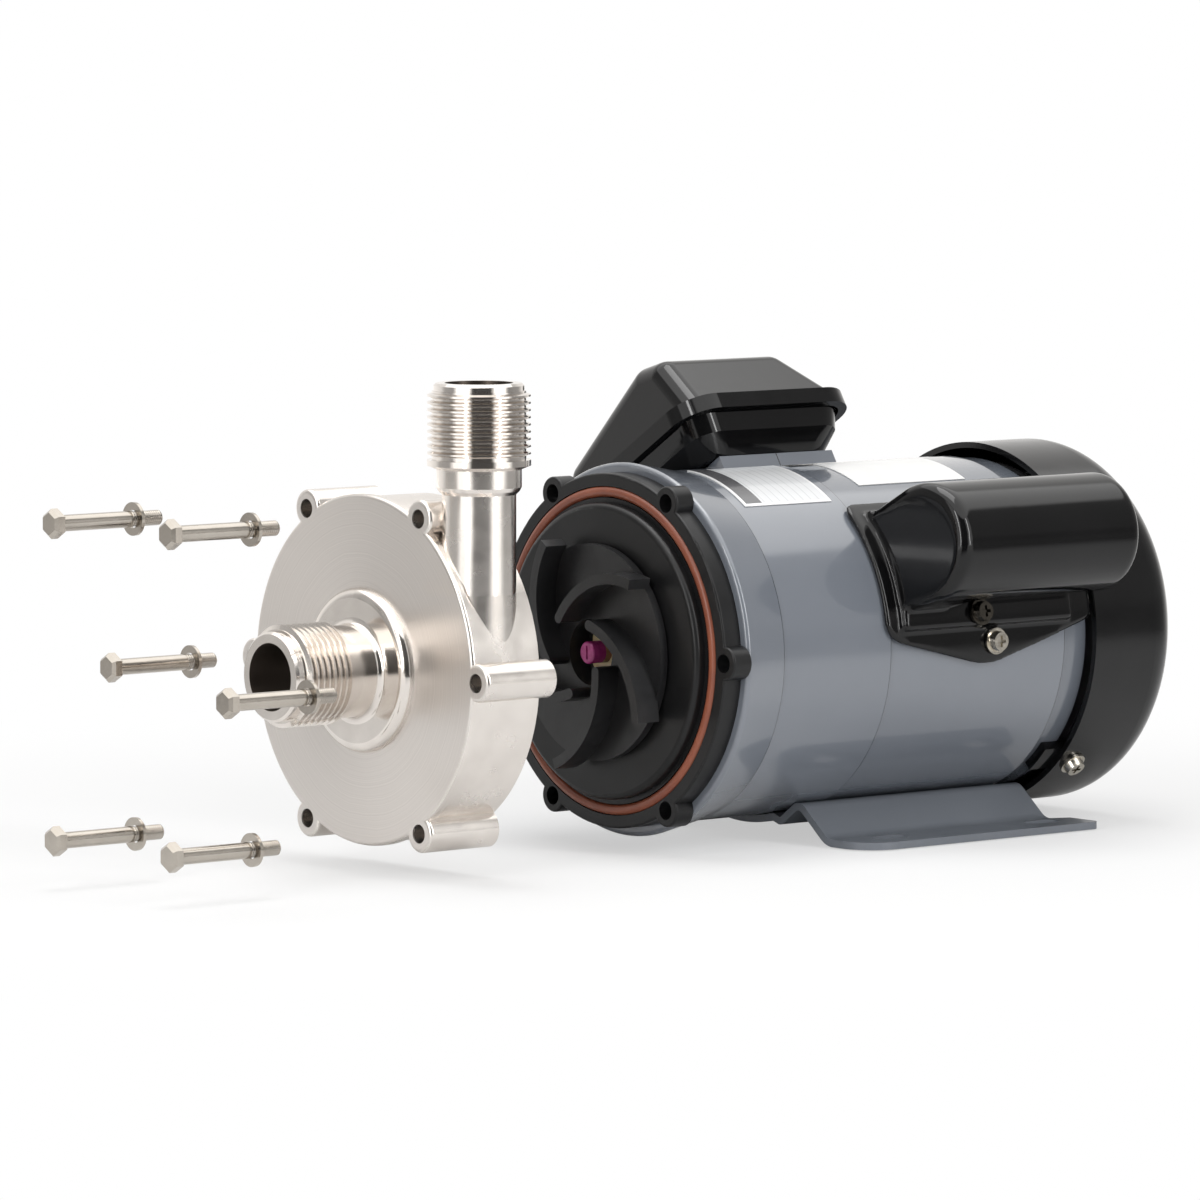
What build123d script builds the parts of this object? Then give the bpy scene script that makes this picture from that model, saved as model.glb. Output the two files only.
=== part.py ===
"""Magnetic drive pump with its motor, opened for service.

The front casing, its six bolts and their washers stand off along the shaft.
+X runs along the shaft from the inlet to the fan, +Z is up, and the origin is
the centre of the foot's slot pattern on the mounting surface. Millimetres.
"""
from build123d import *
import os
from math import cos, radians, sin, sqrt

os.makedirs("parts", exist_ok=True)

# Layout
AXIS_HEIGHT = 66.0
JOINT_X = -115.0
HEAD_STAND_OFF = 75.3
FIT_GAP = 0.05
PAINT_GAP = 0.3
RUNNING_GAP = 0.05
SEAT_GAP = 0.02

# Pump bolts and the ears that they pass through
BOLT_CIRCLE_RADIUS = 58.5
BOLT_COUNT = 6
BOLT_SHANK_RADIUS = 2.65
BOLT_THREAD_RADIUS = 2.45
BOLT_THREAD_LENGTH = 12.0
BOLT_LENGTH = 40.0
BOLT_HEAD_FLATS = 8.4
BOLT_HEAD_HEIGHT = 3.5
BOLT_HEAD_CHAMFER = 1.0
BOLT_HOLE_RADIUS = 3.1
BOLT_TAPPED_RADIUS = 2.55
BOLT_TAPPED_DEPTH = 5.0
WASHER_RADIUS = 5.4
WASHER_HOLE_RADIUS = 2.95
WASHER_THICKNESS = 1.2
BOLT_STAND_OFF = 97.0
WASHER_STAND_OFF = 66.5
NEAR_BOLT_STAND_OFF = 56.0
NEAR_WASHER_STAND_OFF = 24.6
NEAR_BOLT = 4
FAR_BOLTS = (3, 5)
FAR_BOLT_EXTRA = 2.5

# Front casing
HEAD_DEPTH = 28.2
HEAD_RADIUS = 56.0
HEAD_LIP_RADIUS = 57.0
HEAD_LIP_WIDTH = 3.0
HEAD_EDGE_ROUND = 1.3
HEAD_EAR_RADIUS = 6.2
HEAD_FRONT_WALL = 5.0
CHAMBER_RADIUS = 49.6
COLLAR_RADIUS = 26.8
COLLAR_HEIGHT = 3.6
COLLAR_ROUND = 3.3
COLLAR_COVE = 2.4
INLET_NECK_RADIUS = 15.0
INLET_THREAD_START = 15.7
INLET_BORE_RADIUS = 10.9
OUTLET_OFFSET = 42.8
OUTLET_PIPE_RADIUS = 11.9
OUTLET_PIPE_TOP = 59.3
OUTLET_SOCKET_RADIUS = 13.7
OUTLET_SOCKET_LENGTH = 7.5
OUTLET_FLANGE_RADIUS = 16.7
OUTLET_FLANGE_LENGTH = 1.9
OUTLET_STEP = 1.2
OUTLET_TURNS = 9
OUTLET_BAND_LENGTH = 2.5
OUTLET_BORE_RADIUS = 9.35
OUTLET_BORE_START = 8.0
OUTLET_PORT_RADIUS = 10.9

# Port threads, one inch parallel
THREAD_CREST_RADIUS = 16.62
THREAD_ROOT_RADIUS = 15.14
THREAD_PITCH = 2.309
THREAD_TURNS = 8
PORT_BAND_RADIUS = 14.6
PORT_BAND_LENGTH = 3.2
PORT_CHAMFER = 0.8

# Rear casing with its can
RIM_RADIUS = 59.0
RIM_THICKNESS = 7.3
RIM_EAR_RADIUS = 5.6
RIM_EDGE_ROUND = 0.8
RAISED_DISC_HEIGHT = 3.8
RAISED_DISC_GAP = 0.3
RAISED_DISC_ROUND = 2.0
RIM_RECESS_RADIUS = 44.0
RIM_WEB_BACK = 4.0
CAN_RADIUS = 25.0
CAN_WALL = 2.0
CAN_DEPTH = 33.0
CAN_FLOOR = 3.0
SHAFT_BOSS_RADIUS = 7.0
SHAFT_BOSS_HEIGHT = 5.7
SHAFT_SOCKET_DEPTH = 7.2
ORING_RADIUS = 52.8
ORING_CORD = 3.5
ORING_GROOVE_WIDTH = 3.8
ORING_GROOVE_DEPTH = 2.7
HEAD_GROOVE_DEPTH = 1.1
HEAD_GROOVE_WIDTH = 3.9

# Ceramic shaft and impeller
SHAFT_RADIUS = 3.7
SHAFT_TIP = 9.3
SHAFT_SLOT_WIDTH = 0.9
SHAFT_SLOT_LENGTH = 4.4
SHAFT_SLOT_DEPTH = 1.5
SLEEVE_FRONT = 4.0
SLEEVE_BACK = 1.3
SLEEVE_SEAT_RADIUS = 3.0
IMPELLER_FACE = 7.6
IMPELLER_PLATE_RADIUS = 36.0
IMPELLER_PLATE_THICKNESS = 2.8
EYE_RADIUS = 11.0
HUB_RADIUS = 24.0
HUB_BACK = 31.0
HUB_POCKET_INNER = 15.5
HUB_POCKET_OUTER = 22.5
HUB_POCKET_FRONT = 1.5
HUB_RELIEF_RADIUS = 8.0
BUSH_BACK = 26.0
BUSH_RADIUS = 5.5
BUSH_FLATS = 12.4
BUSH_CORNER = 2.2
BUSH_HEAD_PROUD = 1.6
BUSH_HEAD_SEAT = 2.4
VANE_COUNT = 5
VANE_THICKNESS = 3.5
VANE_HEIGHT = 8.4
VANE_ROOT = 0.5
VANE_INNER_RADIUS = 13.3
VANE_MIDDLE_RADIUS = 27.0
VANE_OUTER_RADIUS = 38.5
VANE_INNER_ANGLE = 121.0
VANE_MIDDLE_ANGLE = 66.0
VANE_OUTER_ANGLE = 40.0
MAGNET_COUNT = 8
MAGNET_SPACE_ANGLE = 2.0
MAGNET_GAP = 0.1
MAGNET_CAP_THICKNESS = 2.4

# Drive magnet on the motor shaft
CAN_AIR_GAP = 1.0
DRIVE_MAGNET_THICKNESS = 5.0
DRIVE_MAGNET_FRONT = 10.0
DRIVE_MAGNET_BACK = 36.0
YOKE_WALL = 4.0
YOKE_FRONT = 9.3
YOKE_PLATE_FRONT = 38.5
YOKE_PLATE_THICKNESS = 4.5
YOKE_HUB_RADIUS = 11.0

# Motor casing
BRACKET_LENGTH = 18.7
BRACKET_FRONT_RADIUS = 62.5
BRACKET_BACK_RADIUS = 59.0
BRACKET_ROUND = 1.5
BRACKET_BORE_RADIUS = 44.0
BRACKET_SCREW_CIRCLE = 49.5
BRACKET_SCREW_RADIUS = 2.0
BRACKET_SCREW_HEAD_RADIUS = 4.0
BRACKET_SCREW_LENGTH = 23.0
BRACKET_SCREW_COUNT = 4
FRONT_SHELL_LENGTH = 47.3
FRONT_SHELL_RADIUS = 58.5
FRONT_FLANGE = 6.0
SHELL_INNER_RADIUS = 56.1
FRONT_CAVITY_RADIUS = 53.0
FRONT_WEB_THICKNESS = 11.0
FRONT_WEB_START = 20.0
REAR_SHELL_LENGTH = 79.0
REAR_SHELL_RADIUS = 58.0
SHIELD_LENGTH = 10.5
SHIELD_RADIUS = 57.0
SHIELD_SPIGOT = 6.3
SHIELD_RIM = 5.0
SHIELD_WEB = 6.5
SHIELD_HUB_RADIUS = 20.0
SHIELD_HUB_LENGTH = 14.8
SHIELD_SHAFT_HOLE = 9.0
TIE_ROD_RADIUS = 2.0
TIE_ROD_CIRCLE = 52.6
TIE_ROD_COUNT = 4
TIE_ROD_HOLE = 2.4
TIE_ROD_THREAD = 8.0
TIE_ROD_HEAD_RADIUS = 3.5
TIE_ROD_HEAD_HEIGHT = 3.0

# Bearings
BEARING_OUTER = 16.0
BEARING_INNER = 6.0
BEARING_WIDTH = 10.0
BEARING_RACE_GAP = 4.4
BALL_RADIUS = 2.5
BALL_COUNT = 8
BALL_GAP = 0.05
BEARING_SHOULDER = 13.0
SPRING_THICKNESS = 1.6

# Electrical parts of the motor
CORE_FRONT_GAP = 4.7
CORE_BACK_GAP = 14.3
STATOR_RADIUS = 56.0
STATOR_BORE = 30.0
SLOT_COUNT = 24
SLOT_INNER = 33.0
SLOT_OUTER = 46.0
SLOT_WIDTH = 4.6
SLOT_LINER = 0.15
WINDING_INNER = 34.0
WINDING_OUTER = 48.5
WINDING_LENGTH = 14.0
ROTOR_RADIUS = 29.5
END_RING_INNER = 18.0
END_RING_OUTER = 28.0
END_RING_LENGTH = 8.0

# Motor shaft
MOTOR_SHAFT_FRONT = 39.0
MOTOR_SHAFT_MIDDLE_RADIUS = 8.0
MOTOR_SHAFT_FAN_RADIUS = 5.0
MOTOR_SHAFT_PROUD = 1.0

# Cooling fan and its cover
FAN_STAND_OFF = 5.2
FAN_PLATE = 2.0
FAN_BLADE_HEIGHT = 15.0
FAN_BLADE_THICKNESS = 2.2
FAN_BLADE_COUNT = 9
FAN_RADIUS = 55.5
FAN_HUB_RADIUS = 10.0
COVER_RADIUS = 62.3
COVER_SHEET = 2.0
COVER_STAND_OFF = 0.2
COVER_LENGTH = 40.8
COVER_ROUND = 13.0
GRILLE_RINGS = ((20.0, 12), (30.0, 18), (40.0, 24))
GRILLE_SLOT_LENGTH = 8.0
GRILLE_SLOT_WIDTH = 3.6
TAB_WIDTH = 11.0
TAB_OVERLAP = 7.3
TAB_LENGTH = 18.0
COVER_SCREW_INSET = 7.0
COVER_SCREW_ANGLE = 43.5
COVER_SCREW_COUNT = 4

# Small pan head screws with captive washers
SCREW_RADIUS = 1.9
SCREW_HEAD_RADIUS = 3.6
SCREW_HEAD_HEIGHT = 2.4
SCREW_WASHER_RADIUS = 4.5
SCREW_WASHER_THICKNESS = 0.9
SCREW_RECESS_WIDTH = 1.0
SCREW_RECESS_LENGTH = 3.8
SCREW_RECESS_DEPTH = 1.1

# Foot
FOOT_FRONT = 60.0
FOOT_LENGTH = 105.5
FOOT_HALF_WIDTH = 62.0
FOOT_RELIEF = 6.8
FOOT_RELIEF_EDGE = 44.0
FOOT_SHEET = 2.5
FOOT_CRADLE_HALF_WIDTH = 14.0
FOOT_DIP = (17.9, 59.7)
FOOT_HUMP = (27.2, 52.9)
FOOT_BEND = 41.5
FOOT_DIP_ROUND = 1.8
FOOT_HUMP_ROUND = 4.0
FOOT_BEND_ROUND = 8.0
FOOT_FRONT_CORNER = 13.0
FOOT_BACK_CORNER = 3.0
FOOT_SLOT_SPACING_X = 69.0
FOOT_SLOT_SPACING_Y = 100.0
FOOT_SLOT_WIDTH = 7.0
FOOT_SLOT_LENGTH = 14.0

# Terminal box, square to a direction that leans away from the viewer
BOX_LEAN = 32.0
BOX_X = 71.5
BOX_RIM_LENGTH = 75.0
BOX_RIM_WIDTH = 88.8
BOX_RIM_TOP = 71.1
BOX_RIM_HEIGHT = 5.5
BOX_RIM_OVERHANG = 3.0
BOX_RIM_PLATE = 1.8
BOX_CORNER = 10.0
BOX_WALL = 2.3
BOX_BASE_SINK = 53.3
BOX_BASE_TAPER = 8.5
BOX_CREASE = 59.7
BOX_CREASE_TAPER = 2.5
BOX_SEAT_TOP = 53.0
BOX_SEAT_SHIFT = 1.8
BOX_SEAT_LENGTH = 50.0
BOX_SEAT_WIDTH = 66.0
BOX_GASKET_THICKNESS = 1.5
ROOF_RIDGE = (-16.0, 96.3)
ROOF_NEAR = (-29.0, 92.4)
ROOF_FAR = (30.0, 83.0)
ROOF_FRONT_LEAN = 5.0
ROOF_BACK_LEAN = 11.0
ROOF_ROUND = 7.0
BLOCK_LENGTH = 40.0
BLOCK_WIDTH = 16.0
BLOCK_HEIGHT = 9.0
STUD_RADIUS = 2.0
STUD_HEIGHT = 7.0
STUD_COUNT = 4
STUD_SPACING = 9.0
BOX_SCREW_SPACING = 44.0
BOX_SCREW_OFFSET = 26.0
BOX_POST_RADIUS = 4.6
BOX_SCREW_DEPTH = 10.0
BOX_SCREW_SEAT = 80.0
GLAND_OFFSET = 0.0
GLAND_HEIGHT = 59.3
GLAND_BORE = 3.2
GLAND_THREAD_RADIUS = 4.8
GLAND_FLATS = 12.0
GLAND_HEX_LENGTH = 4.0
GLAND_DOME_RADIUS = 5.9
GLAND_DOME_LENGTH = 10.0
GLAND_BOSS_RADIUS = 6.2
GLAND_TAIL = 6.0

# Capacitor and its cover, square to a direction that leans towards the viewer
HUMP_RISE = 28.0
HUMP_CENTRE = 76.5
HUMP_RADIUS = 20.0
HUMP_FRONT = 75.5
HUMP_LENGTH = 85.0
HUMP_RAKE = 4.0
HUMP_WALL = 2.0
HUMP_ROUND = 3.8
FLARE_HALF_WIDTH = 17.8
FLARE_HIGH_SIDE = 19.8
FLARE_END_HALF_WIDTH = 12.0
FLARE_LENGTH = 25.0
FLARE_TOP = 76.0
PLINTH_RISE = 4.7
PLINTH_LOW_ANGLE = 6.0
PLINTH_HIGH_ANGLE = 46.5
PLINTH_INSET = 1.5
PLINTH_LENGTH = 76.0
FLANGE_THICKNESS = 2.0
FLANGE_OUTLINE = (
    (70.0, 46.0), (70.2, 6.0), (74.5, 2.4), (111.0, -6.6), (119.0, -6.6),
    (162.7, 5.9), (162.7, 28.0), (152.0, 36.0), (152.0, 46.0)
)
FLANGE_CORNER = 3.0
NEAR_SCREW = (117.5, 0.7)
SHELF_SCREW = (109.0, 10.0)
CAPACITOR_DROP = 0.6
CAPACITOR_RADIUS = 17.2
CAPACITOR_LENGTH = 70.0
CAPACITOR_START = 86.0

# Labels
LABEL_THICKNESS = 0.25
NAMEPLATE = (31.0, 69.0, 55.5, 86.5)
BLANK_LABEL = (88.0, 136.0, 64.0, 88.0)

# Stations along the shaft
head_back = JOINT_X - HEAD_STAND_OFF
head_face = head_back - HEAD_DEPTH
chamber_front = head_face + HEAD_FRONT_WALL
inlet_thread = head_face - INLET_THREAD_START
inlet_mouth = inlet_thread - THREAD_TURNS * THREAD_PITCH - PORT_BAND_LENGTH
outlet_x = head_face + HEAD_DEPTH / 2
outlet_socket_top = OUTLET_PIPE_TOP + OUTLET_SOCKET_LENGTH
outlet_flange_top = outlet_socket_top + OUTLET_STEP + OUTLET_FLANGE_LENGTH
outlet_thread = outlet_flange_top + OUTLET_STEP
outlet_mouth = outlet_thread + OUTLET_TURNS * THREAD_PITCH + OUTLET_BAND_LENGTH
bracket_front = JOINT_X + RIM_THICKNESS
bracket_back = bracket_front + BRACKET_LENGTH
front_shell_back = bracket_back + FRONT_SHELL_LENGTH
rear_shell_back = front_shell_back + REAR_SHELL_LENGTH
shield_back = rear_shell_back + SHIELD_LENGTH
front_web = bracket_back + FRONT_WEB_START
front_web_back = front_web + FRONT_WEB_THICKNESS
front_bearing = front_web
rear_bearing = shield_back - SHIELD_HUB_LENGTH
core_start = front_shell_back + CORE_FRONT_GAP
core_back = rear_shell_back - CORE_BACK_GAP
core_length = core_back - core_start
fan_front = shield_back + FAN_STAND_OFF
fan_back = fan_front + FAN_PLATE + FAN_BLADE_HEIGHT
cover_front = shield_back + COVER_STAND_OFF
cover_back = cover_front + COVER_LENGTH
cover_screw_x = cover_front + COVER_SCREW_INSET
tab_front = shield_back - TAB_OVERLAP
box_x = JOINT_X + BOX_X
magnet_inner = CAN_RADIUS + CAN_WALL + CAN_AIR_GAP
magnet_outer = magnet_inner + DRIVE_MAGNET_THICKNESS
oring_seat = ORING_GROOVE_DEPTH - ORING_CORD / 2 - FIT_GAP
can_floor = JOINT_X + CAN_DEPTH

SECTION = Plane(origin=(0, 0, AXIS_HEIGHT), x_dir=(1, 0, 0), z_dir=(0, -1, 0))
SHAFT_AXIS = Axis((0, 0, AXIS_HEIGHT), (1, 0, 0))


def cross_plane(x):
    """Plane square to the shaft: its x is away from the viewer and its y is up."""
    return Plane(origin=(x, 0, AXIS_HEIGHT), x_dir=(0, 1, 0), z_dir=(1, 0, 0))


def leaning_plane(x, lean, height=0.0):
    """Plane across a direction that leans from upright away from the viewer."""
    out = Vector(0, sin(radians(lean)), cos(radians(lean)))
    return Plane(origin=Vector(x, 0, AXIS_HEIGHT) + out * height, x_dir=(1, 0, 0), z_dir=out)


def radial_plane(x, angle, radius):
    """Plane facing out of the motor, at an angle above the viewer's horizontal."""
    out = Vector(0, -cos(radians(angle)), sin(radians(angle)))
    return Plane(origin=Vector(x, 0, AXIS_HEIGHT) + out * radius, x_dir=(1, 0, 0), z_dir=out)


def profile(*points):
    """Closed outline on the section plane, as (along the shaft, radius) points."""
    with BuildSketch(SECTION) as outline:
        with BuildLine():
            Polyline(*points, close=True)
        make_face()
    return outline.sketch


def tube(start, end, inner, outer):
    """Rectangular outline that turns into a tube round the shaft."""
    return profile((start, inner), (end, inner), (end, outer), (start, outer))


def sector(start, end, inner, outer, high):
    """Tube outline turned to the angle, above the viewer's horizontal, where a band starts."""
    return tube(start, end, inner, outer).rotate(SHAFT_AXIS, 90 - high)


def round_holes(x, circle, count, radius, start_angle=0.0):
    """Circles on a pitch circle, on a plane square to the shaft."""
    with BuildSketch(cross_plane(x)) as holes:
        with PolarLocations(circle, count, start_angle=start_angle):
            Circle(radius)
    return holes.sketch


def ears(x, radius, length, edge_round):
    """Bolt ears round the shaft, with their front edges rounded."""
    with BuildPart() as lugs:
        extrude(round_holes(x, BOLT_CIRCLE_RADIUS, BOLT_COUNT, radius), amount=length)
        fillet(lugs.edges().group_by(Axis.X)[0], radius=edge_round)
    return lugs.part


def port_end(plane, start, turns, band_length):
    """Half outline of a threaded port, from its thread to its mouth."""
    points = [(start, 0)]
    for turn in range(turns):
        root = start + turn * THREAD_PITCH
        points += [
            (root, THREAD_ROOT_RADIUS),
            (root + THREAD_PITCH / 4, THREAD_CREST_RADIUS),
            (root + THREAD_PITCH / 2, THREAD_CREST_RADIUS),
            (root + THREAD_PITCH * 3 / 4, THREAD_ROOT_RADIUS),
        ]
    band = start + turns * THREAD_PITCH
    mouth = band + band_length
    points += [
        (band, THREAD_ROOT_RADIUS),
        (band, PORT_BAND_RADIUS),
        (mouth - PORT_CHAMFER, PORT_BAND_RADIUS),
        (mouth, PORT_BAND_RADIUS - PORT_CHAMFER),
        (mouth, 0),
    ]
    with BuildSketch(plane) as half:
        with BuildLine():
            Polyline(*points, close=True)
        make_face()
    return half.sketch


# Front casing: one stainless casting with a machined disc, six bolt ears,
# an inlet on the shaft line and an outlet that rises beside it.
INLET_PLANE = Plane(origin=(head_face, 0, AXIS_HEIGHT), x_dir=(-1, 0, 0), z_dir=(0, 1, 0))
OUTLET_PLANE = Plane(
    origin=(outlet_x, -OUTLET_OFFSET, AXIS_HEIGHT), x_dir=(0, 0, 1), z_dir=(0, 1, 0)
)
OUTLET_AXIS = Axis((outlet_x, -OUTLET_OFFSET, AXIS_HEIGHT), (0, 0, 1))
with BuildPart() as front_casing:
    revolve(
        profile(
            (head_face, 0),
            (head_face, HEAD_LIP_RADIUS),
            (head_face + HEAD_LIP_WIDTH, HEAD_LIP_RADIUS),
            (head_face + HEAD_LIP_WIDTH, HEAD_RADIUS),
            (head_back, HEAD_RADIUS),
            (head_back, 0),
        ),
        axis=SHAFT_AXIS,
    )
    fillet(front_casing.edges().group_by(Axis.X)[0], radius=HEAD_EDGE_ROUND)
    add(ears(head_face, HEAD_EAR_RADIUS, HEAD_DEPTH, HEAD_EDGE_ROUND))
    with BuildSketch(INLET_PLANE):
        with BuildLine():
            collar = FilletPolyline(
                (0, COLLAR_RADIUS),
                (COLLAR_HEIGHT, COLLAR_RADIUS),
                (COLLAR_HEIGHT, INLET_NECK_RADIUS),
                (INLET_THREAD_START, INLET_NECK_RADIUS),
                radius=[COLLAR_ROUND, COLLAR_COVE],
            )
            Polyline(collar @ 1, (INLET_THREAD_START, 0), (0, 0), collar @ 0)
        make_face()
    revolve(axis=SHAFT_AXIS)
    revolve(
        port_end(INLET_PLANE, INLET_THREAD_START, THREAD_TURNS, PORT_BAND_LENGTH),
        axis=SHAFT_AXIS,
    )
    with BuildSketch(OUTLET_PLANE):
        with BuildLine():
            Polyline(
                (0, 0),
                (0, OUTLET_PIPE_RADIUS),
                (OUTLET_PIPE_TOP - OUTLET_STEP / 2, OUTLET_PIPE_RADIUS),
                (OUTLET_PIPE_TOP + OUTLET_STEP / 2, OUTLET_SOCKET_RADIUS - OUTLET_STEP / 2),
                (OUTLET_PIPE_TOP + OUTLET_STEP * 3 / 2, OUTLET_SOCKET_RADIUS),
                (outlet_socket_top, OUTLET_SOCKET_RADIUS),
                (outlet_socket_top + OUTLET_STEP, OUTLET_FLANGE_RADIUS),
                (outlet_flange_top, OUTLET_FLANGE_RADIUS),
                (outlet_flange_top, THREAD_ROOT_RADIUS),
                (outlet_thread, THREAD_ROOT_RADIUS),
                (outlet_thread, 0),
                close=True,
            )
        make_face()
    revolve(axis=OUTLET_AXIS)
    revolve(
        port_end(OUTLET_PLANE, outlet_thread, OUTLET_TURNS, OUTLET_BAND_LENGTH),
        axis=OUTLET_AXIS,
    )
    revolve(tube(chamber_front, head_back, 0, CHAMBER_RADIUS), axis=SHAFT_AXIS, mode=Mode.SUBTRACT)
    revolve(
        tube(inlet_mouth, chamber_front, 0, INLET_BORE_RADIUS),
        axis=SHAFT_AXIS,
        mode=Mode.SUBTRACT,
    )
    with BuildSketch(OUTLET_PLANE):
        with BuildLine():
            Polyline(
                (OUTLET_BORE_START, 0),
                (OUTLET_BORE_START, OUTLET_BORE_RADIUS),
                (outlet_socket_top, OUTLET_BORE_RADIUS),
                (outlet_flange_top, OUTLET_PORT_RADIUS),
                (outlet_mouth, OUTLET_PORT_RADIUS),
                (outlet_mouth, 0),
                close=True,
            )
        make_face()
    revolve(axis=OUTLET_AXIS, mode=Mode.SUBTRACT)
    revolve(
        tube(
            head_back - HEAD_GROOVE_DEPTH,
            head_back,
            ORING_RADIUS - HEAD_GROOVE_WIDTH / 2,
            ORING_RADIUS + HEAD_GROOVE_WIDTH / 2,
        ),
        axis=SHAFT_AXIS,
        mode=Mode.SUBTRACT,
    )
    extrude(
        round_holes(head_face, BOLT_CIRCLE_RADIUS, BOLT_COUNT, BOLT_HOLE_RADIUS),
        amount=HEAD_DEPTH,
        mode=Mode.SUBTRACT,
    )
front_casing.part.label = "front_casing"
export_step(front_casing.part, "parts/front_casing.step")

# Bolts and washers: hexagon head bolts drawn off along the shaft, each with a
# plain washer still on its shank.
for number in range(1, BOLT_COUNT + 1):
    bolt_angle = radians((number - 1) * 360 / BOLT_COUNT)
    bolt_y = -BOLT_CIRCLE_RADIUS * cos(bolt_angle)
    bolt_z = AXIS_HEIGHT + BOLT_CIRCLE_RADIUS * sin(bolt_angle)
    bolt_off = BOLT_STAND_OFF
    washer_off = WASHER_STAND_OFF
    if number == NEAR_BOLT:
        bolt_off = NEAR_BOLT_STAND_OFF
        washer_off = NEAR_WASHER_STAND_OFF
    if number in FAR_BOLTS:
        bolt_off += FAR_BOLT_EXTRA
        washer_off += FAR_BOLT_EXTRA
    bolt_plane = Plane(
        origin=(head_face - bolt_off, bolt_y, bolt_z), x_dir=(0, 1, 0), z_dir=(1, 0, 0)
    )
    with BuildPart() as bolt:
        with BuildSketch(bolt_plane):
            RegularPolygon(BOLT_HEAD_FLATS / 2, 6, major_radius=False, rotation=30)
        extrude(amount=-BOLT_HEAD_HEIGHT)
        chamfer(bolt.faces().sort_by(Axis.X)[0].edges(), length=BOLT_HEAD_CHAMFER)
        with BuildSketch(bolt_plane):
            Circle(BOLT_SHANK_RADIUS)
        extrude(amount=BOLT_LENGTH - BOLT_THREAD_LENGTH)
        with BuildSketch(bolt_plane):
            Circle(BOLT_THREAD_RADIUS)
        extrude(amount=BOLT_LENGTH)
        chamfer(bolt.faces().sort_by(Axis.X)[-1].edges(), length=0.5)
    bolt.part.label = f"bolt_{number}"
    export_step(bolt.part, f"parts/bolt_{number}.step")

    washer_plane = Plane(
        origin=(head_face - washer_off, bolt_y, bolt_z), x_dir=(0, 1, 0), z_dir=(1, 0, 0)
    )
    with BuildPart() as washer:
        with BuildSketch(washer_plane):
            Circle(WASHER_RADIUS)
            Circle(WASHER_HOLE_RADIUS, mode=Mode.SUBTRACT)
        extrude(amount=-WASHER_THICKNESS)
    washer.part.label = f"washer_{number}"
    export_step(washer.part, f"parts/washer_{number}.step")

# Rear casing: one plastic moulding with a bolted rim, a raised disc that fills
# the front casing's mouth, and the can that keeps the liquid off the motor.
disc_front = JOINT_X - RAISED_DISC_HEIGHT
disc_radius = CHAMBER_RADIUS - RAISED_DISC_GAP
can_outer = CAN_RADIUS + CAN_WALL
with BuildPart() as rear_casing:
    with BuildSketch(SECTION):
        with BuildLine():
            front = FilletPolyline(
                (disc_front, CAN_RADIUS),
                (disc_front, disc_radius),
                (JOINT_X, disc_radius),
                radius=[RAISED_DISC_ROUND],
            )
            Polyline(
                front @ 1,
                (JOINT_X, RIM_RADIUS),
                (bracket_front, RIM_RADIUS),
                (bracket_front, RIM_RECESS_RADIUS),
                (JOINT_X + RIM_WEB_BACK, RIM_RECESS_RADIUS),
                (JOINT_X + RIM_WEB_BACK, can_outer),
                (can_floor + CAN_FLOOR, can_outer),
                (can_floor + CAN_FLOOR, 0),
                (can_floor - SHAFT_BOSS_HEIGHT, 0),
                (can_floor - SHAFT_BOSS_HEIGHT, SHAFT_BOSS_RADIUS),
                (can_floor, SHAFT_BOSS_RADIUS),
                (can_floor, CAN_RADIUS),
                front @ 0,
            )
        make_face()
    revolve(axis=SHAFT_AXIS)
    rim_edges = rear_casing.edges().filter_by(lambda edge: abs(edge.center().X - JOINT_X) < FIT_GAP)
    fillet(rim_edges.sort_by(SortBy.LENGTH)[-1], radius=RIM_EDGE_ROUND)
    add(ears(JOINT_X, RIM_EAR_RADIUS, RIM_THICKNESS, RIM_EDGE_ROUND))
    extrude(
        round_holes(JOINT_X, BOLT_CIRCLE_RADIUS, BOLT_COUNT, BOLT_HOLE_RADIUS),
        amount=RIM_THICKNESS,
        mode=Mode.SUBTRACT,
    )
    revolve(
        tube(
            JOINT_X,
            JOINT_X + ORING_GROOVE_DEPTH,
            ORING_RADIUS - ORING_GROOVE_WIDTH / 2,
            ORING_RADIUS + ORING_GROOVE_WIDTH / 2,
        ),
        axis=SHAFT_AXIS,
        mode=Mode.SUBTRACT,
    )
    revolve(
        tube(
            can_floor - SHAFT_BOSS_HEIGHT,
            can_floor - SHAFT_BOSS_HEIGHT + SHAFT_SOCKET_DEPTH,
            0,
            SHAFT_RADIUS + SEAT_GAP,
        ),
        axis=SHAFT_AXIS,
        mode=Mode.SUBTRACT,
    )
rear_casing.part.label = "rear_casing"
export_step(rear_casing.part, "parts/rear_casing.step")

# O-ring: rubber cord ring lying in the rim's groove.
with BuildPart() as o_ring:
    with BuildSketch(SECTION):
        with Locations((JOINT_X + oring_seat, ORING_RADIUS)):
            Circle(ORING_CORD / 2)
    revolve(axis=SHAFT_AXIS)
o_ring.part.label = "o_ring"
export_step(o_ring.part, "parts/o_ring.step")

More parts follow.
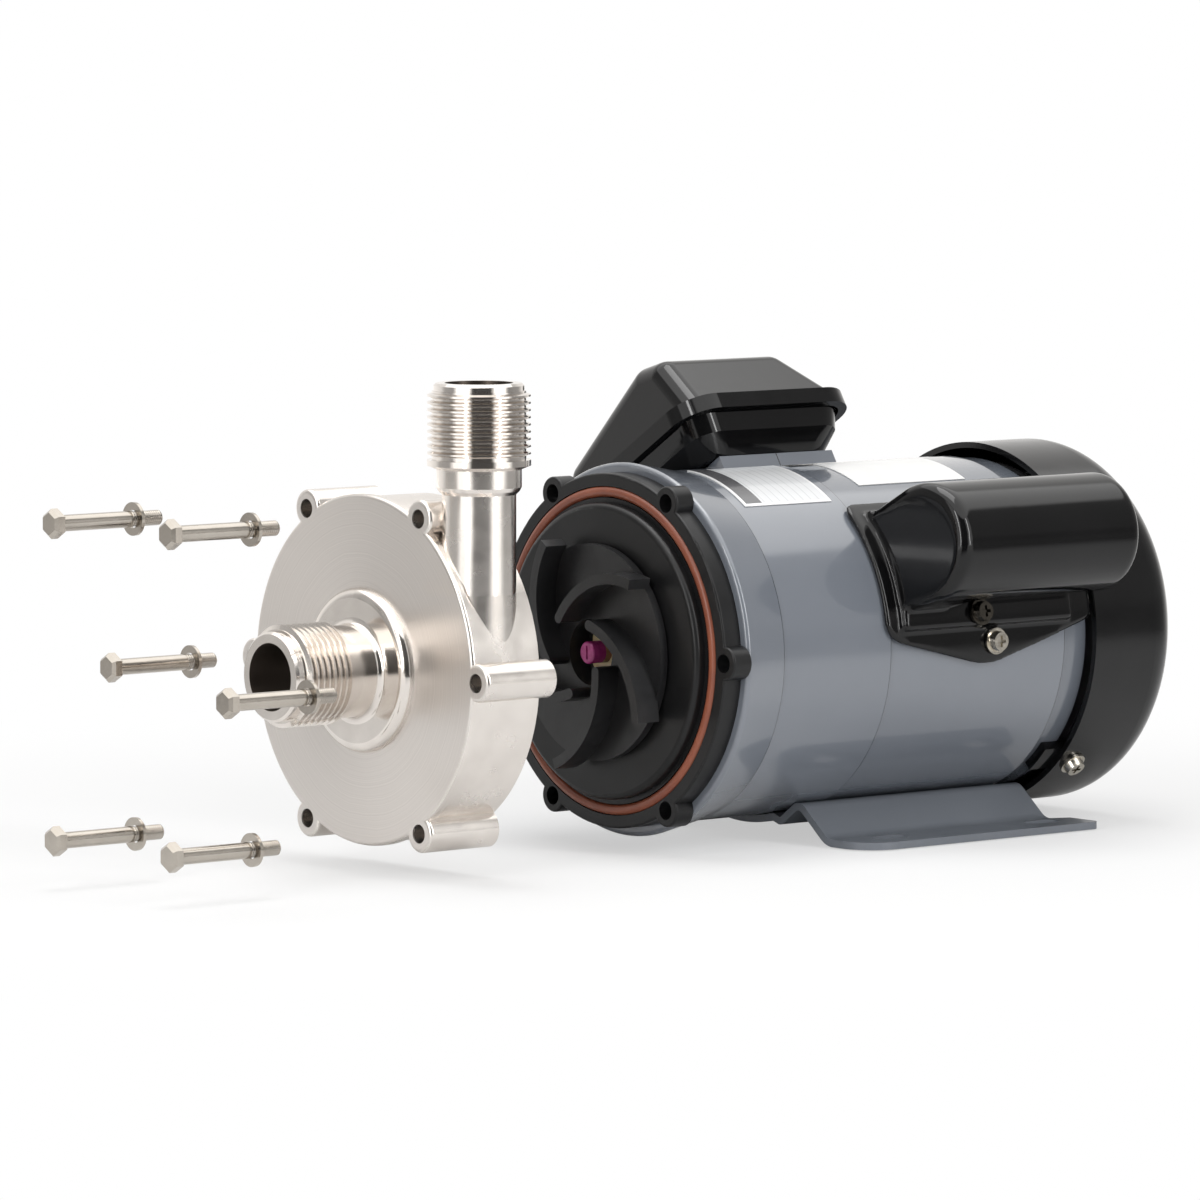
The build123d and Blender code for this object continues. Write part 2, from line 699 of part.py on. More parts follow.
# Ceramic shaft: fixed in the can's boss, with a slotted tip and a neck for its sleeve.
shaft_back = can_floor - SHAFT_BOSS_HEIGHT + SHAFT_SOCKET_DEPTH - FIT_GAP
with BuildPart() as ceramic_shaft:
    revolve(
        profile(
            (JOINT_X - SHAFT_TIP, 0),
            (JOINT_X - SHAFT_TIP, SHAFT_RADIUS - 0.4),
            (JOINT_X - SHAFT_TIP + 0.4, SHAFT_RADIUS),
            (JOINT_X - SLEEVE_FRONT, SHAFT_RADIUS),
            (JOINT_X - SLEEVE_FRONT, SLEEVE_SEAT_RADIUS),
            (JOINT_X - SLEEVE_BACK, SLEEVE_SEAT_RADIUS),
            (JOINT_X - SLEEVE_BACK, SHAFT_RADIUS),
            (shaft_back, SHAFT_RADIUS),
            (shaft_back, 0),
        ),
        axis=SHAFT_AXIS,
    )
    with BuildSketch(cross_plane(JOINT_X - SHAFT_TIP)):
        Rectangle(SHAFT_SLOT_WIDTH, SHAFT_SLOT_LENGTH)
    extrude(amount=SHAFT_SLOT_DEPTH, mode=Mode.SUBTRACT)
ceramic_shaft.part.label = "ceramic_shaft"
export_step(ceramic_shaft.part, "parts/ceramic_shaft.step")

with BuildPart() as shaft_sleeve:
    revolve(
        tube(
            JOINT_X - SLEEVE_FRONT + SEAT_GAP,
            JOINT_X - SLEEVE_BACK - SEAT_GAP,
            SLEEVE_SEAT_RADIUS + SEAT_GAP,
            SHAFT_RADIUS,
        ),
        axis=SHAFT_AXIS,
    )
shaft_sleeve.part.label = "shaft_sleeve"
export_step(shaft_sleeve.part, "parts/shaft_sleeve.step")

# Impeller: an open wheel with swept vanes, moulded with the hub that holds
# the driven magnets inside the can.
plate_front = JOINT_X - IMPELLER_FACE
plate_back = plate_front + IMPELLER_PLATE_THICKNESS
hub_back = JOINT_X + HUB_BACK
bush_back = JOINT_X + BUSH_BACK
bush_seat = BUSH_RADIUS + SEAT_GAP
with BuildPart() as impeller:
    revolve(
        profile(
            (JOINT_X, bush_seat),
            (JOINT_X, EYE_RADIUS),
            (plate_front, EYE_RADIUS),
            (plate_front, IMPELLER_PLATE_RADIUS),
            (plate_back, IMPELLER_PLATE_RADIUS),
            (plate_back, HUB_RADIUS),
            (hub_back, HUB_RADIUS),
            (hub_back, HUB_POCKET_OUTER),
            (JOINT_X + HUB_POCKET_FRONT, HUB_POCKET_OUTER),
            (JOINT_X + HUB_POCKET_FRONT, HUB_POCKET_INNER),
            (hub_back, HUB_POCKET_INNER),
            (hub_back, HUB_RELIEF_RADIUS),
            (bush_back, HUB_RELIEF_RADIUS),
            (bush_back, bush_seat),
        ),
        axis=SHAFT_AXIS,
    )
    with BuildSketch(cross_plane(JOINT_X)):
        RectangleRounded(
            BUSH_FLATS + 2 * SEAT_GAP, BUSH_FLATS + 2 * SEAT_GAP, BUSH_CORNER + SEAT_GAP
        )
    extrude(amount=BUSH_HEAD_SEAT, mode=Mode.SUBTRACT)
    for vane in range(VANE_COUNT):
        turn = vane * 360 / VANE_COUNT
        path = []
        for radius, angle in (
            (VANE_INNER_RADIUS, VANE_INNER_ANGLE),
            (VANE_MIDDLE_RADIUS, VANE_MIDDLE_ANGLE),
            (VANE_OUTER_RADIUS, VANE_OUTER_ANGLE),
        ):
            around = radians(angle + turn)
            path.append((-radius * cos(around), radius * sin(around)))
        with BuildSketch(cross_plane(plate_front + VANE_ROOT)):
            with BuildLine():
                ThreePointArc(*path)
            trace(line_width=VANE_THICKNESS)
            with Locations(path[0]):
                Circle(VANE_THICKNESS / 2)
        extrude(amount=-(VANE_HEIGHT + VANE_ROOT))
impeller.part.label = "impeller"
export_step(impeller.part, "parts/impeller.step")

# Impeller bush: ceramic, with a square head that keys it in the eye.
with BuildPart() as impeller_bush:
    with BuildSketch(cross_plane(JOINT_X - BUSH_HEAD_PROUD)):
        RectangleRounded(BUSH_FLATS, BUSH_FLATS, BUSH_CORNER)
    extrude(amount=BUSH_HEAD_PROUD + BUSH_HEAD_SEAT - SEAT_GAP)
    revolve(tube(JOINT_X, bush_back, 0, BUSH_RADIUS), axis=SHAFT_AXIS)
    revolve(
        tube(JOINT_X - BUSH_HEAD_PROUD, bush_back, 0, SHAFT_RADIUS + RUNNING_GAP),
        axis=SHAFT_AXIS,
        mode=Mode.SUBTRACT,
    )
impeller_bush.part.label = "impeller_bush"
export_step(impeller_bush.part, "parts/impeller_bush.step")


def magnet_ring(start, end, inner, outer):
    """Arc shaped magnets side by side in a ring round the shaft."""
    span = 360 / MAGNET_COUNT - MAGNET_SPACE_ANGLE
    with BuildPart() as magnets:
        for segment in range(MAGNET_COUNT):
            first = segment * 360 / MAGNET_COUNT
            revolve(
                sector(start, end, inner, outer, first), axis=SHAFT_AXIS, revolution_arc=span
            )
    return magnets


# Magnets: one ring drives from outside the can, the other follows inside it.
magnet_cap_front = hub_back - MAGNET_CAP_THICKNESS
driven_magnets = magnet_ring(
    JOINT_X + HUB_POCKET_FRONT + MAGNET_GAP,
    magnet_cap_front - MAGNET_GAP,
    HUB_POCKET_INNER + MAGNET_GAP,
    HUB_POCKET_OUTER - MAGNET_GAP,
)
driven_magnets.part.label = "driven_magnets"
export_step(driven_magnets.part, "parts/driven_magnets.step")

with BuildPart() as magnet_cap:
    revolve(
        tube(
            magnet_cap_front,
            hub_back,
            HUB_POCKET_INNER + SEAT_GAP,
            HUB_POCKET_OUTER - SEAT_GAP,
        ),
        axis=SHAFT_AXIS,
    )
magnet_cap.part.label = "magnet_cap"
export_step(magnet_cap.part, "parts/magnet_cap.step")

drive_magnets = magnet_ring(
    JOINT_X + DRIVE_MAGNET_FRONT, JOINT_X + DRIVE_MAGNET_BACK, magnet_inner, magnet_outer
)
drive_magnets.part.label = "drive_magnets"
export_step(drive_magnets.part, "parts/drive_magnets.step")

# Drive magnet yoke: a steel cup on the end of the motor shaft.
yoke_inner = magnet_outer + SEAT_GAP
yoke_outer = yoke_inner + YOKE_WALL
yoke_plate = JOINT_X + YOKE_PLATE_FRONT
yoke_plate_back = yoke_plate + YOKE_PLATE_THICKNESS
with BuildPart() as drive_magnet_yoke:
    revolve(
        profile(
            (JOINT_X + YOKE_FRONT, yoke_inner),
            (JOINT_X + YOKE_FRONT, yoke_outer),
            (yoke_plate_back, yoke_outer),
            (yoke_plate_back, YOKE_HUB_RADIUS),
            (front_bearing - PAINT_GAP, YOKE_HUB_RADIUS),
            (front_bearing - PAINT_GAP, BEARING_INNER + SEAT_GAP),
            (yoke_plate, BEARING_INNER + SEAT_GAP),
            (yoke_plate, yoke_inner),
        ),
        axis=SHAFT_AXIS,
    )
drive_magnet_yoke.part.label = "drive_magnet_yoke"
export_step(drive_magnet_yoke.part, "parts/drive_magnet_yoke.step")

# Motor bracket: painted casting that carries the pump end.
screw_turn = 45.0
with BuildPart() as motor_bracket:
    with BuildSketch(SECTION):
        with BuildLine():
            rim = FilletPolyline(
                (bracket_front, BRACKET_BORE_RADIUS),
                (bracket_front, BRACKET_FRONT_RADIUS),
                (bracket_back, BRACKET_BACK_RADIUS),
                radius=[BRACKET_ROUND],
            )
            Polyline(rim @ 1, (bracket_back, BRACKET_BORE_RADIUS), rim @ 0)
        make_face()
    revolve(axis=SHAFT_AXIS)
    extrude(
        round_holes(bracket_front, BOLT_CIRCLE_RADIUS, BOLT_COUNT, BOLT_TAPPED_RADIUS),
        amount=BOLT_TAPPED_DEPTH,
        mode=Mode.SUBTRACT,
    )
    with Locations(Plane(origin=(bracket_front, 0, AXIS_HEIGHT), x_dir=(0, 1, 0), z_dir=(-1, 0, 0))):
        with PolarLocations(BRACKET_SCREW_CIRCLE, BRACKET_SCREW_COUNT, start_angle=screw_turn):
            CounterSinkHole(
                BRACKET_SCREW_RADIUS + FIT_GAP,
                BRACKET_SCREW_HEAD_RADIUS + FIT_GAP,
                depth=BRACKET_LENGTH,
                counter_sink_angle=90,
            )
motor_bracket.part.label = "motor_bracket"
export_step(motor_bracket.part, "parts/motor_bracket.step")

# Bracket screws: countersunk, from the bracket's face into the front shell.
with BuildPart() as bracket_screws:
    extrude(
        round_holes(
            bracket_front,
            BRACKET_SCREW_CIRCLE,
            BRACKET_SCREW_COUNT,
            BRACKET_SCREW_RADIUS,
            screw_turn,
        ),
        amount=BRACKET_SCREW_LENGTH,
    )
    extrude(
        round_holes(
            bracket_front + FIT_GAP,
            BRACKET_SCREW_CIRCLE,
            BRACKET_SCREW_COUNT,
            BRACKET_SCREW_HEAD_RADIUS - FIT_GAP,
            screw_turn,
        ),
        amount=BRACKET_SCREW_HEAD_RADIUS - BRACKET_SCREW_RADIUS,
        taper=45,
    )
bracket_screws.part.label = "bracket_screws"
export_step(bracket_screws.part, "parts/bracket_screws.step")

# Front shell: casting with the front bearing's web inside it.
bearing_seat = BEARING_OUTER + SEAT_GAP
with BuildPart() as front_shell:
    revolve(
        profile(
            (bracket_back, BRACKET_BORE_RADIUS),
            (bracket_back, FRONT_SHELL_RADIUS),
            (front_shell_back, FRONT_SHELL_RADIUS),
            (front_shell_back, SHELL_INNER_RADIUS),
            (front_web_back, SHELL_INNER_RADIUS),
            (front_web_back, BEARING_SHOULDER),
            (front_web + BEARING_WIDTH, BEARING_SHOULDER),
            (front_web + BEARING_WIDTH, bearing_seat),
            (front_web, bearing_seat),
            (front_web, FRONT_CAVITY_RADIUS),
            (bracket_back + FRONT_FLANGE, FRONT_CAVITY_RADIUS),
            (bracket_back + FRONT_FLANGE, BRACKET_BORE_RADIUS),
        ),
        axis=SHAFT_AXIS,
    )
    extrude(
        round_holes(
            bracket_back,
            BRACKET_SCREW_CIRCLE,
            BRACKET_SCREW_COUNT,
            BRACKET_SCREW_RADIUS + FIT_GAP,
            screw_turn,
        ),
        amount=FRONT_FLANGE,
        mode=Mode.SUBTRACT,
    )
    extrude(
        round_holes(
            front_web_back, TIE_ROD_CIRCLE, TIE_ROD_COUNT, TIE_ROD_RADIUS + FIT_GAP, screw_turn
        ),
        amount=-TIE_ROD_THREAD,
        mode=Mode.SUBTRACT,
    )
front_shell.part.label = "front_shell"
export_step(front_shell.part, "parts/front_shell.step")

# Rear shell: rolled steel tube round the stator.
with BuildPart() as rear_shell:
    revolve(
        tube(front_shell_back, rear_shell_back, SHELL_INNER_RADIUS, REAR_SHELL_RADIUS),
        axis=SHAFT_AXIS,
    )
rear_shell.part.label = "rear_shell"
export_step(rear_shell.part, "parts/rear_shell.step")

# Rear end shield: casting with the rear bearing's hub.
shield_rim = SHIELD_RADIUS - SHIELD_RIM - (SHIELD_RADIUS - STATOR_RADIUS)
spring_seat = rear_bearing + BEARING_WIDTH + SPRING_THICKNESS + 2 * SEAT_GAP
with BuildPart() as rear_end_shield:
    revolve(
        profile(
            (rear_shell_back - SHIELD_SPIGOT, shield_rim),
            (rear_shell_back - SHIELD_SPIGOT, STATOR_RADIUS),
            (rear_shell_back, STATOR_RADIUS),
            (rear_shell_back, SHIELD_RADIUS),
            (shield_back, SHIELD_RADIUS),
            (shield_back, SHIELD_SHAFT_HOLE),
            (spring_seat, SHIELD_SHAFT_HOLE),
            (spring_seat, bearing_seat),
            (rear_bearing, bearing_seat),
            (rear_bearing, SHIELD_HUB_RADIUS),
            (shield_back - SHIELD_WEB, SHIELD_HUB_RADIUS),
            (shield_back - SHIELD_WEB, shield_rim),
        ),
        axis=SHAFT_AXIS,
    )
    extrude(
        round_holes(
            rear_shell_back - SHIELD_SPIGOT,
            TIE_ROD_CIRCLE,
            TIE_ROD_COUNT,
            TIE_ROD_HOLE,
            screw_turn,
        ),
        amount=SHIELD_SPIGOT + SHIELD_LENGTH,
        mode=Mode.SUBTRACT,
    )
rear_end_shield.part.label = "rear_end_shield"
export_step(rear_end_shield.part, "parts/rear_end_shield.step")

# Tie rods: from the rear end shield, past the windings, into the front web.
with BuildPart() as tie_rods:
    extrude(
        round_holes(
            front_web_back - TIE_ROD_THREAD + FIT_GAP,
            TIE_ROD_CIRCLE,
            TIE_ROD_COUNT,
            TIE_ROD_RADIUS,
            screw_turn,
        ),
        amount=shield_back - front_web_back + TIE_ROD_THREAD,
    )
    extrude(
        round_holes(shield_back, TIE_ROD_CIRCLE, TIE_ROD_COUNT, TIE_ROD_HEAD_RADIUS, screw_turn),
        amount=TIE_ROD_HEAD_HEIGHT,
    )
tie_rods.part.label = "tie_rods"
export_step(tie_rods.part, "parts/tie_rods.step")

# Bearings: the outer ring sits in the casing, the inner ring and balls turn.
ball_circle = (BEARING_OUTER + BEARING_INNER) / 2
for place, start in (("front", front_bearing), ("rear", rear_bearing)):
    end = start + BEARING_WIDTH
    with BuildPart() as outer_ring:
        revolve(
            tube(start, end, ball_circle + BEARING_RACE_GAP / 2, BEARING_OUTER), axis=SHAFT_AXIS
        )
        with BuildSketch(SECTION):
            with Locations(((start + end) / 2, ball_circle)):
                Circle(BALL_RADIUS + BALL_GAP)
        revolve(axis=SHAFT_AXIS, mode=Mode.SUBTRACT)
    outer_ring.part.label = f"{place}_bearing_outer_ring"
    export_step(outer_ring.part, f"parts/{place}_bearing_outer_ring.step")
    with BuildPart() as inner_ring:
        revolve(
            tube(start, end, BEARING_INNER + SEAT_GAP, ball_circle - BEARING_RACE_GAP / 2),
            axis=SHAFT_AXIS,
        )
        with BuildSketch(SECTION):
            with Locations(((start + end) / 2, ball_circle)):
                Circle(BALL_RADIUS + BALL_GAP)
        revolve(axis=SHAFT_AXIS, mode=Mode.SUBTRACT)
    inner_ring.part.label = f"{place}_bearing_inner_ring"
    export_step(inner_ring.part, f"parts/{place}_bearing_inner_ring.step")
    with BuildPart(cross_plane((start + end) / 2)) as balls:
        with PolarLocations(ball_circle, BALL_COUNT):
            Sphere(BALL_RADIUS)
    balls.part.label = f"{place}_bearing_balls"
    export_step(balls.part, f"parts/{place}_bearing_balls.step")

with BuildPart() as wave_spring:
    revolve(
        tube(
            rear_bearing + BEARING_WIDTH + SEAT_GAP,
            spring_seat - SEAT_GAP,
            BEARING_SHOULDER,
            BEARING_OUTER - FIT_GAP,
        ),
        axis=SHAFT_AXIS,
    )
wave_spring.part.label = "wave_spring"
export_step(wave_spring.part, "parts/wave_spring.step")

# Stator: slotted laminations and the copper that fills them.
slot_middle = (SLOT_INNER + SLOT_OUTER) / 2
slot_depth = SLOT_OUTER - SLOT_INNER
with BuildPart() as stator_core:
    revolve(tube(core_start, core_back, STATOR_BORE, STATOR_RADIUS), axis=SHAFT_AXIS)
    with BuildSketch(cross_plane(core_start)):
        with PolarLocations(slot_middle, SLOT_COUNT):
            Rectangle(slot_depth, SLOT_WIDTH)
        with PolarLocations(TIE_ROD_CIRCLE, TIE_ROD_COUNT, start_angle=screw_turn):
            Circle(TIE_ROD_HOLE)
    extrude(amount=core_length, mode=Mode.SUBTRACT)
stator_core.part.label = "stator_core"
export_step(stator_core.part, "parts/stator_core.step")

with BuildPart() as stator_windings:
    with BuildSketch(cross_plane(core_start - PAINT_GAP)):
        with PolarLocations(slot_middle, SLOT_COUNT):
            Rectangle(slot_depth - 2 * SLOT_LINER, SLOT_WIDTH - 2 * SLOT_LINER)
    extrude(amount=core_length + 2 * PAINT_GAP)
    for start in (core_start - PAINT_GAP - WINDING_LENGTH, core_back + PAINT_GAP):
        revolve(
            tube(start, start + WINDING_LENGTH, WINDING_INNER, WINDING_OUTER), axis=SHAFT_AXIS
        )
stator_windings.part.label = "stator_windings"
export_step(stator_windings.part, "parts/stator_windings.step")

# Rotor: laminations on the shaft with cast end rings.
with BuildPart() as rotor_core:
    revolve(
        tube(core_start, core_back, MOTOR_SHAFT_MIDDLE_RADIUS + SEAT_GAP, ROTOR_RADIUS),
        axis=SHAFT_AXIS,
    )
rotor_core.part.label = "rotor_core"
export_step(rotor_core.part, "parts/rotor_core.step")

with BuildPart() as rotor_end_rings:
    for start in (core_start - END_RING_LENGTH, core_back):
        revolve(
            tube(start, start + END_RING_LENGTH, END_RING_INNER, END_RING_OUTER), axis=SHAFT_AXIS
        )
rotor_end_rings.part.label = "rotor_end_rings"
export_step(rotor_end_rings.part, "parts/rotor_end_rings.step")

# Motor shaft: stepped for the magnet yoke, the bearings, the rotor and the fan.
shoulder_front = front_bearing + BEARING_WIDTH
with BuildPart() as motor_shaft:
    revolve(
        profile(
            (JOINT_X + MOTOR_SHAFT_FRONT, 0),
            (JOINT_X + MOTOR_SHAFT_FRONT, BEARING_INNER),
            (shoulder_front, BEARING_INNER),
            (shoulder_front, MOTOR_SHAFT_MIDDLE_RADIUS),
            (rear_bearing, MOTOR_SHAFT_MIDDLE_RADIUS),
            (rear_bearing, BEARING_INNER),
            (shield_back, BEARING_INNER),
            (shield_back, MOTOR_SHAFT_FAN_RADIUS),
            (fan_back + MOTOR_SHAFT_PROUD, MOTOR_SHAFT_FAN_RADIUS),
            (fan_back + MOTOR_SHAFT_PROUD, 0),
        ),
        axis=SHAFT_AXIS,
    )
motor_shaft.part.label = "motor_shaft"
export_step(motor_shaft.part, "parts/motor_shaft.step")

# Cooling fan: moulded wheel with straight blades on a plate.
with BuildPart() as cooling_fan:
    with BuildSketch(cross_plane(fan_front)):
        Circle(FAN_RADIUS)
    extrude(amount=FAN_PLATE)
    with BuildSketch(cross_plane(fan_front)):
        Circle(FAN_HUB_RADIUS)
        with PolarLocations((FAN_HUB_RADIUS + FAN_RADIUS) / 2 - 1, FAN_BLADE_COUNT):
            Rectangle(FAN_RADIUS - FAN_HUB_RADIUS, FAN_BLADE_THICKNESS)
    extrude(amount=FAN_PLATE + FAN_BLADE_HEIGHT)
    with BuildSketch(cross_plane(fan_front)):
        Circle(MOTOR_SHAFT_FAN_RADIUS + SEAT_GAP)
    extrude(amount=FAN_PLATE + FAN_BLADE_HEIGHT, mode=Mode.SUBTRACT)
cooling_fan.part.label = "cooling_fan"
export_step(cooling_fan.part, "parts/cooling_fan.step")

# Fan cover: deep drawn sheet with a slotted grille, screwed to four tabs.
cover_inner = COVER_RADIUS - COVER_SHEET
with BuildPart() as fan_cover:
    for reach, wall, edge, mode in (
        (cover_back, COVER_RADIUS, COVER_ROUND, Mode.ADD),
        (cover_back - COVER_SHEET, cover_inner, COVER_ROUND - COVER_SHEET, Mode.SUBTRACT),
    ):
        with BuildSketch(SECTION):
            with BuildLine():
                shell = FilletPolyline(
                    (cover_front, wall), (reach, wall), (reach, 0), radius=[edge]
                )
                Polyline(shell @ 1, (cover_front, 0), shell @ 0)
            make_face()
        revolve(axis=SHAFT_AXIS, mode=mode)
    with BuildSketch(cross_plane(cover_back)):
        for ring_radius, slot_count in GRILLE_RINGS:
            with PolarLocations(ring_radius, slot_count):
                SlotOverall(GRILLE_SLOT_LENGTH, GRILLE_SLOT_WIDTH)
    extrude(amount=-2 * COVER_SHEET, mode=Mode.SUBTRACT)
    for corner in range(COVER_SCREW_COUNT):
        corner_angle = COVER_SCREW_ANGLE + corner * 360 / COVER_SCREW_COUNT
        with BuildSketch(radial_plane(cover_screw_x, corner_angle, 0)):
            Circle(SCREW_RADIUS + FIT_GAP)
        extrude(amount=COVER_RADIUS + 1, mode=Mode.SUBTRACT)
fan_cover.part.label = "fan_cover"
export_step(fan_cover.part, "parts/fan_cover.step")

# Fan cover tabs: lugs on the end shield that reach under the cover.
with BuildPart() as fan_cover_tabs:
    for corner in range(COVER_SCREW_COUNT):
        corner_angle = COVER_SCREW_ANGLE + corner * 360 / COVER_SCREW_COUNT
        tab_x = tab_front + TAB_LENGTH / 2
        with BuildSketch(radial_plane(tab_x, corner_angle, 0)):
            Rectangle(TAB_LENGTH, TAB_WIDTH)
        extrude(amount=COVER_RADIUS)
    revolve(
        tube(
            tab_front,
            tab_front + TAB_LENGTH,
            SHIELD_RADIUS + FIT_GAP,
            cover_inner - FIT_GAP,
        ),
        axis=SHAFT_AXIS,
        mode=Mode.INTERSECT,
    )
    for corner in range(COVER_SCREW_COUNT):
        corner_angle = COVER_SCREW_ANGLE + corner * 360 / COVER_SCREW_COUNT
        with BuildSketch(radial_plane(cover_screw_x, corner_angle, 0)):
            Circle(SCREW_RADIUS + FIT_GAP)
        extrude(amount=COVER_RADIUS, mode=Mode.SUBTRACT)
fan_cover_tabs.part.label = "fan_cover_tabs"
export_step(fan_cover_tabs.part, "parts/fan_cover_tabs.step")


def pan_screw(seat, depth):
    """Cross recess pan head screw with a captive washer, on a plane facing out."""
    with BuildPart() as screw:
        with BuildSketch(seat):
            Circle(SCREW_WASHER_RADIUS)
        extrude(amount=SCREW_WASHER_THICKNESS)
        with BuildSketch(seat.offset(SCREW_WASHER_THICKNESS)):
            Circle(SCREW_HEAD_RADIUS)
        extrude(amount=SCREW_HEAD_HEIGHT, taper=12)
        with BuildSketch(seat):
            Circle(SCREW_RADIUS)
        extrude(amount=-depth)
        with BuildSketch(seat.offset(SCREW_WASHER_THICKNESS + SCREW_HEAD_HEIGHT)):
            Rectangle(SCREW_RECESS_LENGTH, SCREW_RECESS_WIDTH)
            Rectangle(SCREW_RECESS_WIDTH, SCREW_RECESS_LENGTH)
        extrude(amount=-SCREW_RECESS_DEPTH, mode=Mode.SUBTRACT)
    return screw.part


with BuildPart() as fan_cover_screws:
    for corner in range(COVER_SCREW_COUNT):
        corner_angle = COVER_SCREW_ANGLE + corner * 360 / COVER_SCREW_COUNT
        seat_plane = radial_plane(cover_screw_x, corner_angle, COVER_RADIUS + FIT_GAP)
        add(pan_screw(seat_plane, COVER_RADIUS - SHIELD_RADIUS - 1))
fan_cover_screws.part.label = "fan_cover_screws"
export_step(fan_cover_screws.part, "parts/fan_cover_screws.step")

# Foot: one bent sheet, cradling the motor and standing on two slotted flanges.
foot_front = JOINT_X + FOOT_FRONT
foot_back = foot_front + FOOT_LENGTH
cradle_radius = FRONT_SHELL_RADIUS + PAINT_GAP + FOOT_SHEET / 2
cradle_drop = sqrt(cradle_radius**2 - FOOT_CRADLE_HALF_WIDTH**2)
flange_drop = AXIS_HEIGHT - FOOT_SHEET / 2
with BuildPart() as foot:
    with BuildSketch(cross_plane(foot_front)):
        with BuildLine():
            cradle = RadiusArc(
                (0, -cradle_radius), (FOOT_CRADLE_HALF_WIDTH, -cradle_drop), -cradle_radius
            )
            FilletPolyline(
                (FOOT_CRADLE_HALF_WIDTH, -cradle_drop),
                (FOOT_DIP[0], -FOOT_DIP[1]),
                (FOOT_HUMP[0], -FOOT_HUMP[1]),
                (FOOT_BEND, -flange_drop),
                (FOOT_HALF_WIDTH, -flange_drop),
                radius=[FOOT_DIP_ROUND, FOOT_HUMP_ROUND, FOOT_BEND_ROUND],
            )
        trace(line_width=FOOT_SHEET)
        mirror(about=Plane.YZ)
    extrude(amount=FOOT_LENGTH)
    flange_corners = foot.edges().filter_by(Axis.Z)
    fillet(flange_corners.group_by(Axis.X)[0], radius=FOOT_FRONT_CORNER)
    fillet(foot.edges().filter_by(Axis.Z).group_by(Axis.X)[-1], radius=FOOT_BACK_CORNER)
    with BuildSketch(Plane.XY):
        with BuildLine():
            Polyline(
                (foot_back - FOOT_RELIEF, -FOOT_RELIEF_EDGE),
                (foot_back + 1, -FOOT_RELIEF_EDGE - FOOT_RELIEF / 2),
                (foot_back + 1, FOOT_RELIEF_EDGE + FOOT_RELIEF / 2),
                (foot_back - FOOT_RELIEF, FOOT_RELIEF_EDGE),
                close=True,
            )
        make_face()
    extrude(amount=AXIS_HEIGHT, mode=Mode.SUBTRACT)
    with BuildSketch(Plane.XY):
        with GridLocations(FOOT_SLOT_SPACING_X, FOOT_SLOT_SPACING_Y, 2, 2):
            SlotOverall(FOOT_SLOT_LENGTH, FOOT_SLOT_WIDTH)
    extrude(amount=FOOT_SHEET, mode=Mode.SUBTRACT)
foot.part.label = "foot"
export_step(foot.part, "parts/foot.step")

# Terminal box seat: two painted ledges that flatten the motor's round side.
with BuildPart() as terminal_seat:
    with BuildSketch(leaning_plane(box_x + BOX_SEAT_SHIFT, BOX_LEAN)):
        Rectangle(BOX_SEAT_LENGTH, BOX_SEAT_WIDTH)
    extrude(amount=BOX_SEAT_TOP)
    revolve(
        tube(bracket_front, shield_back, 0, FRONT_SHELL_RADIUS),
        axis=SHAFT_AXIS,
        mode=Mode.SUBTRACT,
    )
terminal_seat.part.label = "terminal_seat"
export_step(terminal_seat.part, "parts/terminal_seat.step")

# Terminal box base: a tapered tray with a saddle shaped floor, two screw posts
# and a boss on its far wall for the cable gland.
box_plane = leaning_plane(box_x, BOX_LEAN)
base_length = BOX_RIM_LENGTH - 2 * BOX_RIM_OVERHANG - 2 * PAINT_GAP
base_width = BOX_RIM_WIDTH - 2 * BOX_RIM_OVERHANG - 2 * PAINT_GAP
rim_bottom = BOX_RIM_TOP - BOX_RIM_HEIGHT
rim_pocket = BOX_RIM_TOP - BOX_RIM_PLATE
base_top = rim_pocket - BOX_GASKET_THICKNESS
saddle_radius = FRONT_SHELL_RADIUS + PAINT_GAP
gland_face = base_width / 2
post_places = [
    (-BOX_SCREW_SPACING / 2, BOX_SCREW_OFFSET),
    (BOX_SCREW_SPACING / 2, BOX_SCREW_OFFSET),
]


def tray(inset, floor):
    """Tapered solid of the base, inset by a wall and cut to the motor's round side."""
    with BuildPart() as solid:
        sections = (
            (BOX_BASE_SINK + inset, BOX_BASE_TAPER),
            (BOX_CREASE + inset / 2, BOX_CREASE_TAPER),
            (base_top, 0),
        )
        for pair in (sections[:2], sections[1:]):
            for height, shrink in pair:
                with BuildSketch(box_plane.offset(height)):
                    RectangleRounded(
                        base_length - 2 * (inset + shrink * 3 / 4),
                        base_width - 2 * (inset + shrink),
                        BOX_CORNER - inset,
                    )
            loft()
        revolve(
            tube(bracket_front, shield_back, 0, floor), axis=SHAFT_AXIS, mode=Mode.SUBTRACT
        )
    return solid.part


def gland_plane(distance):
    """Plane across the cable gland, at a distance from the box's middle."""
    return Plane(
        origin=box_plane.from_local_coords((GLAND_OFFSET, distance, GLAND_HEIGHT)),
        x_dir=(1, 0, 0),
        z_dir=box_plane.y_dir,
    )


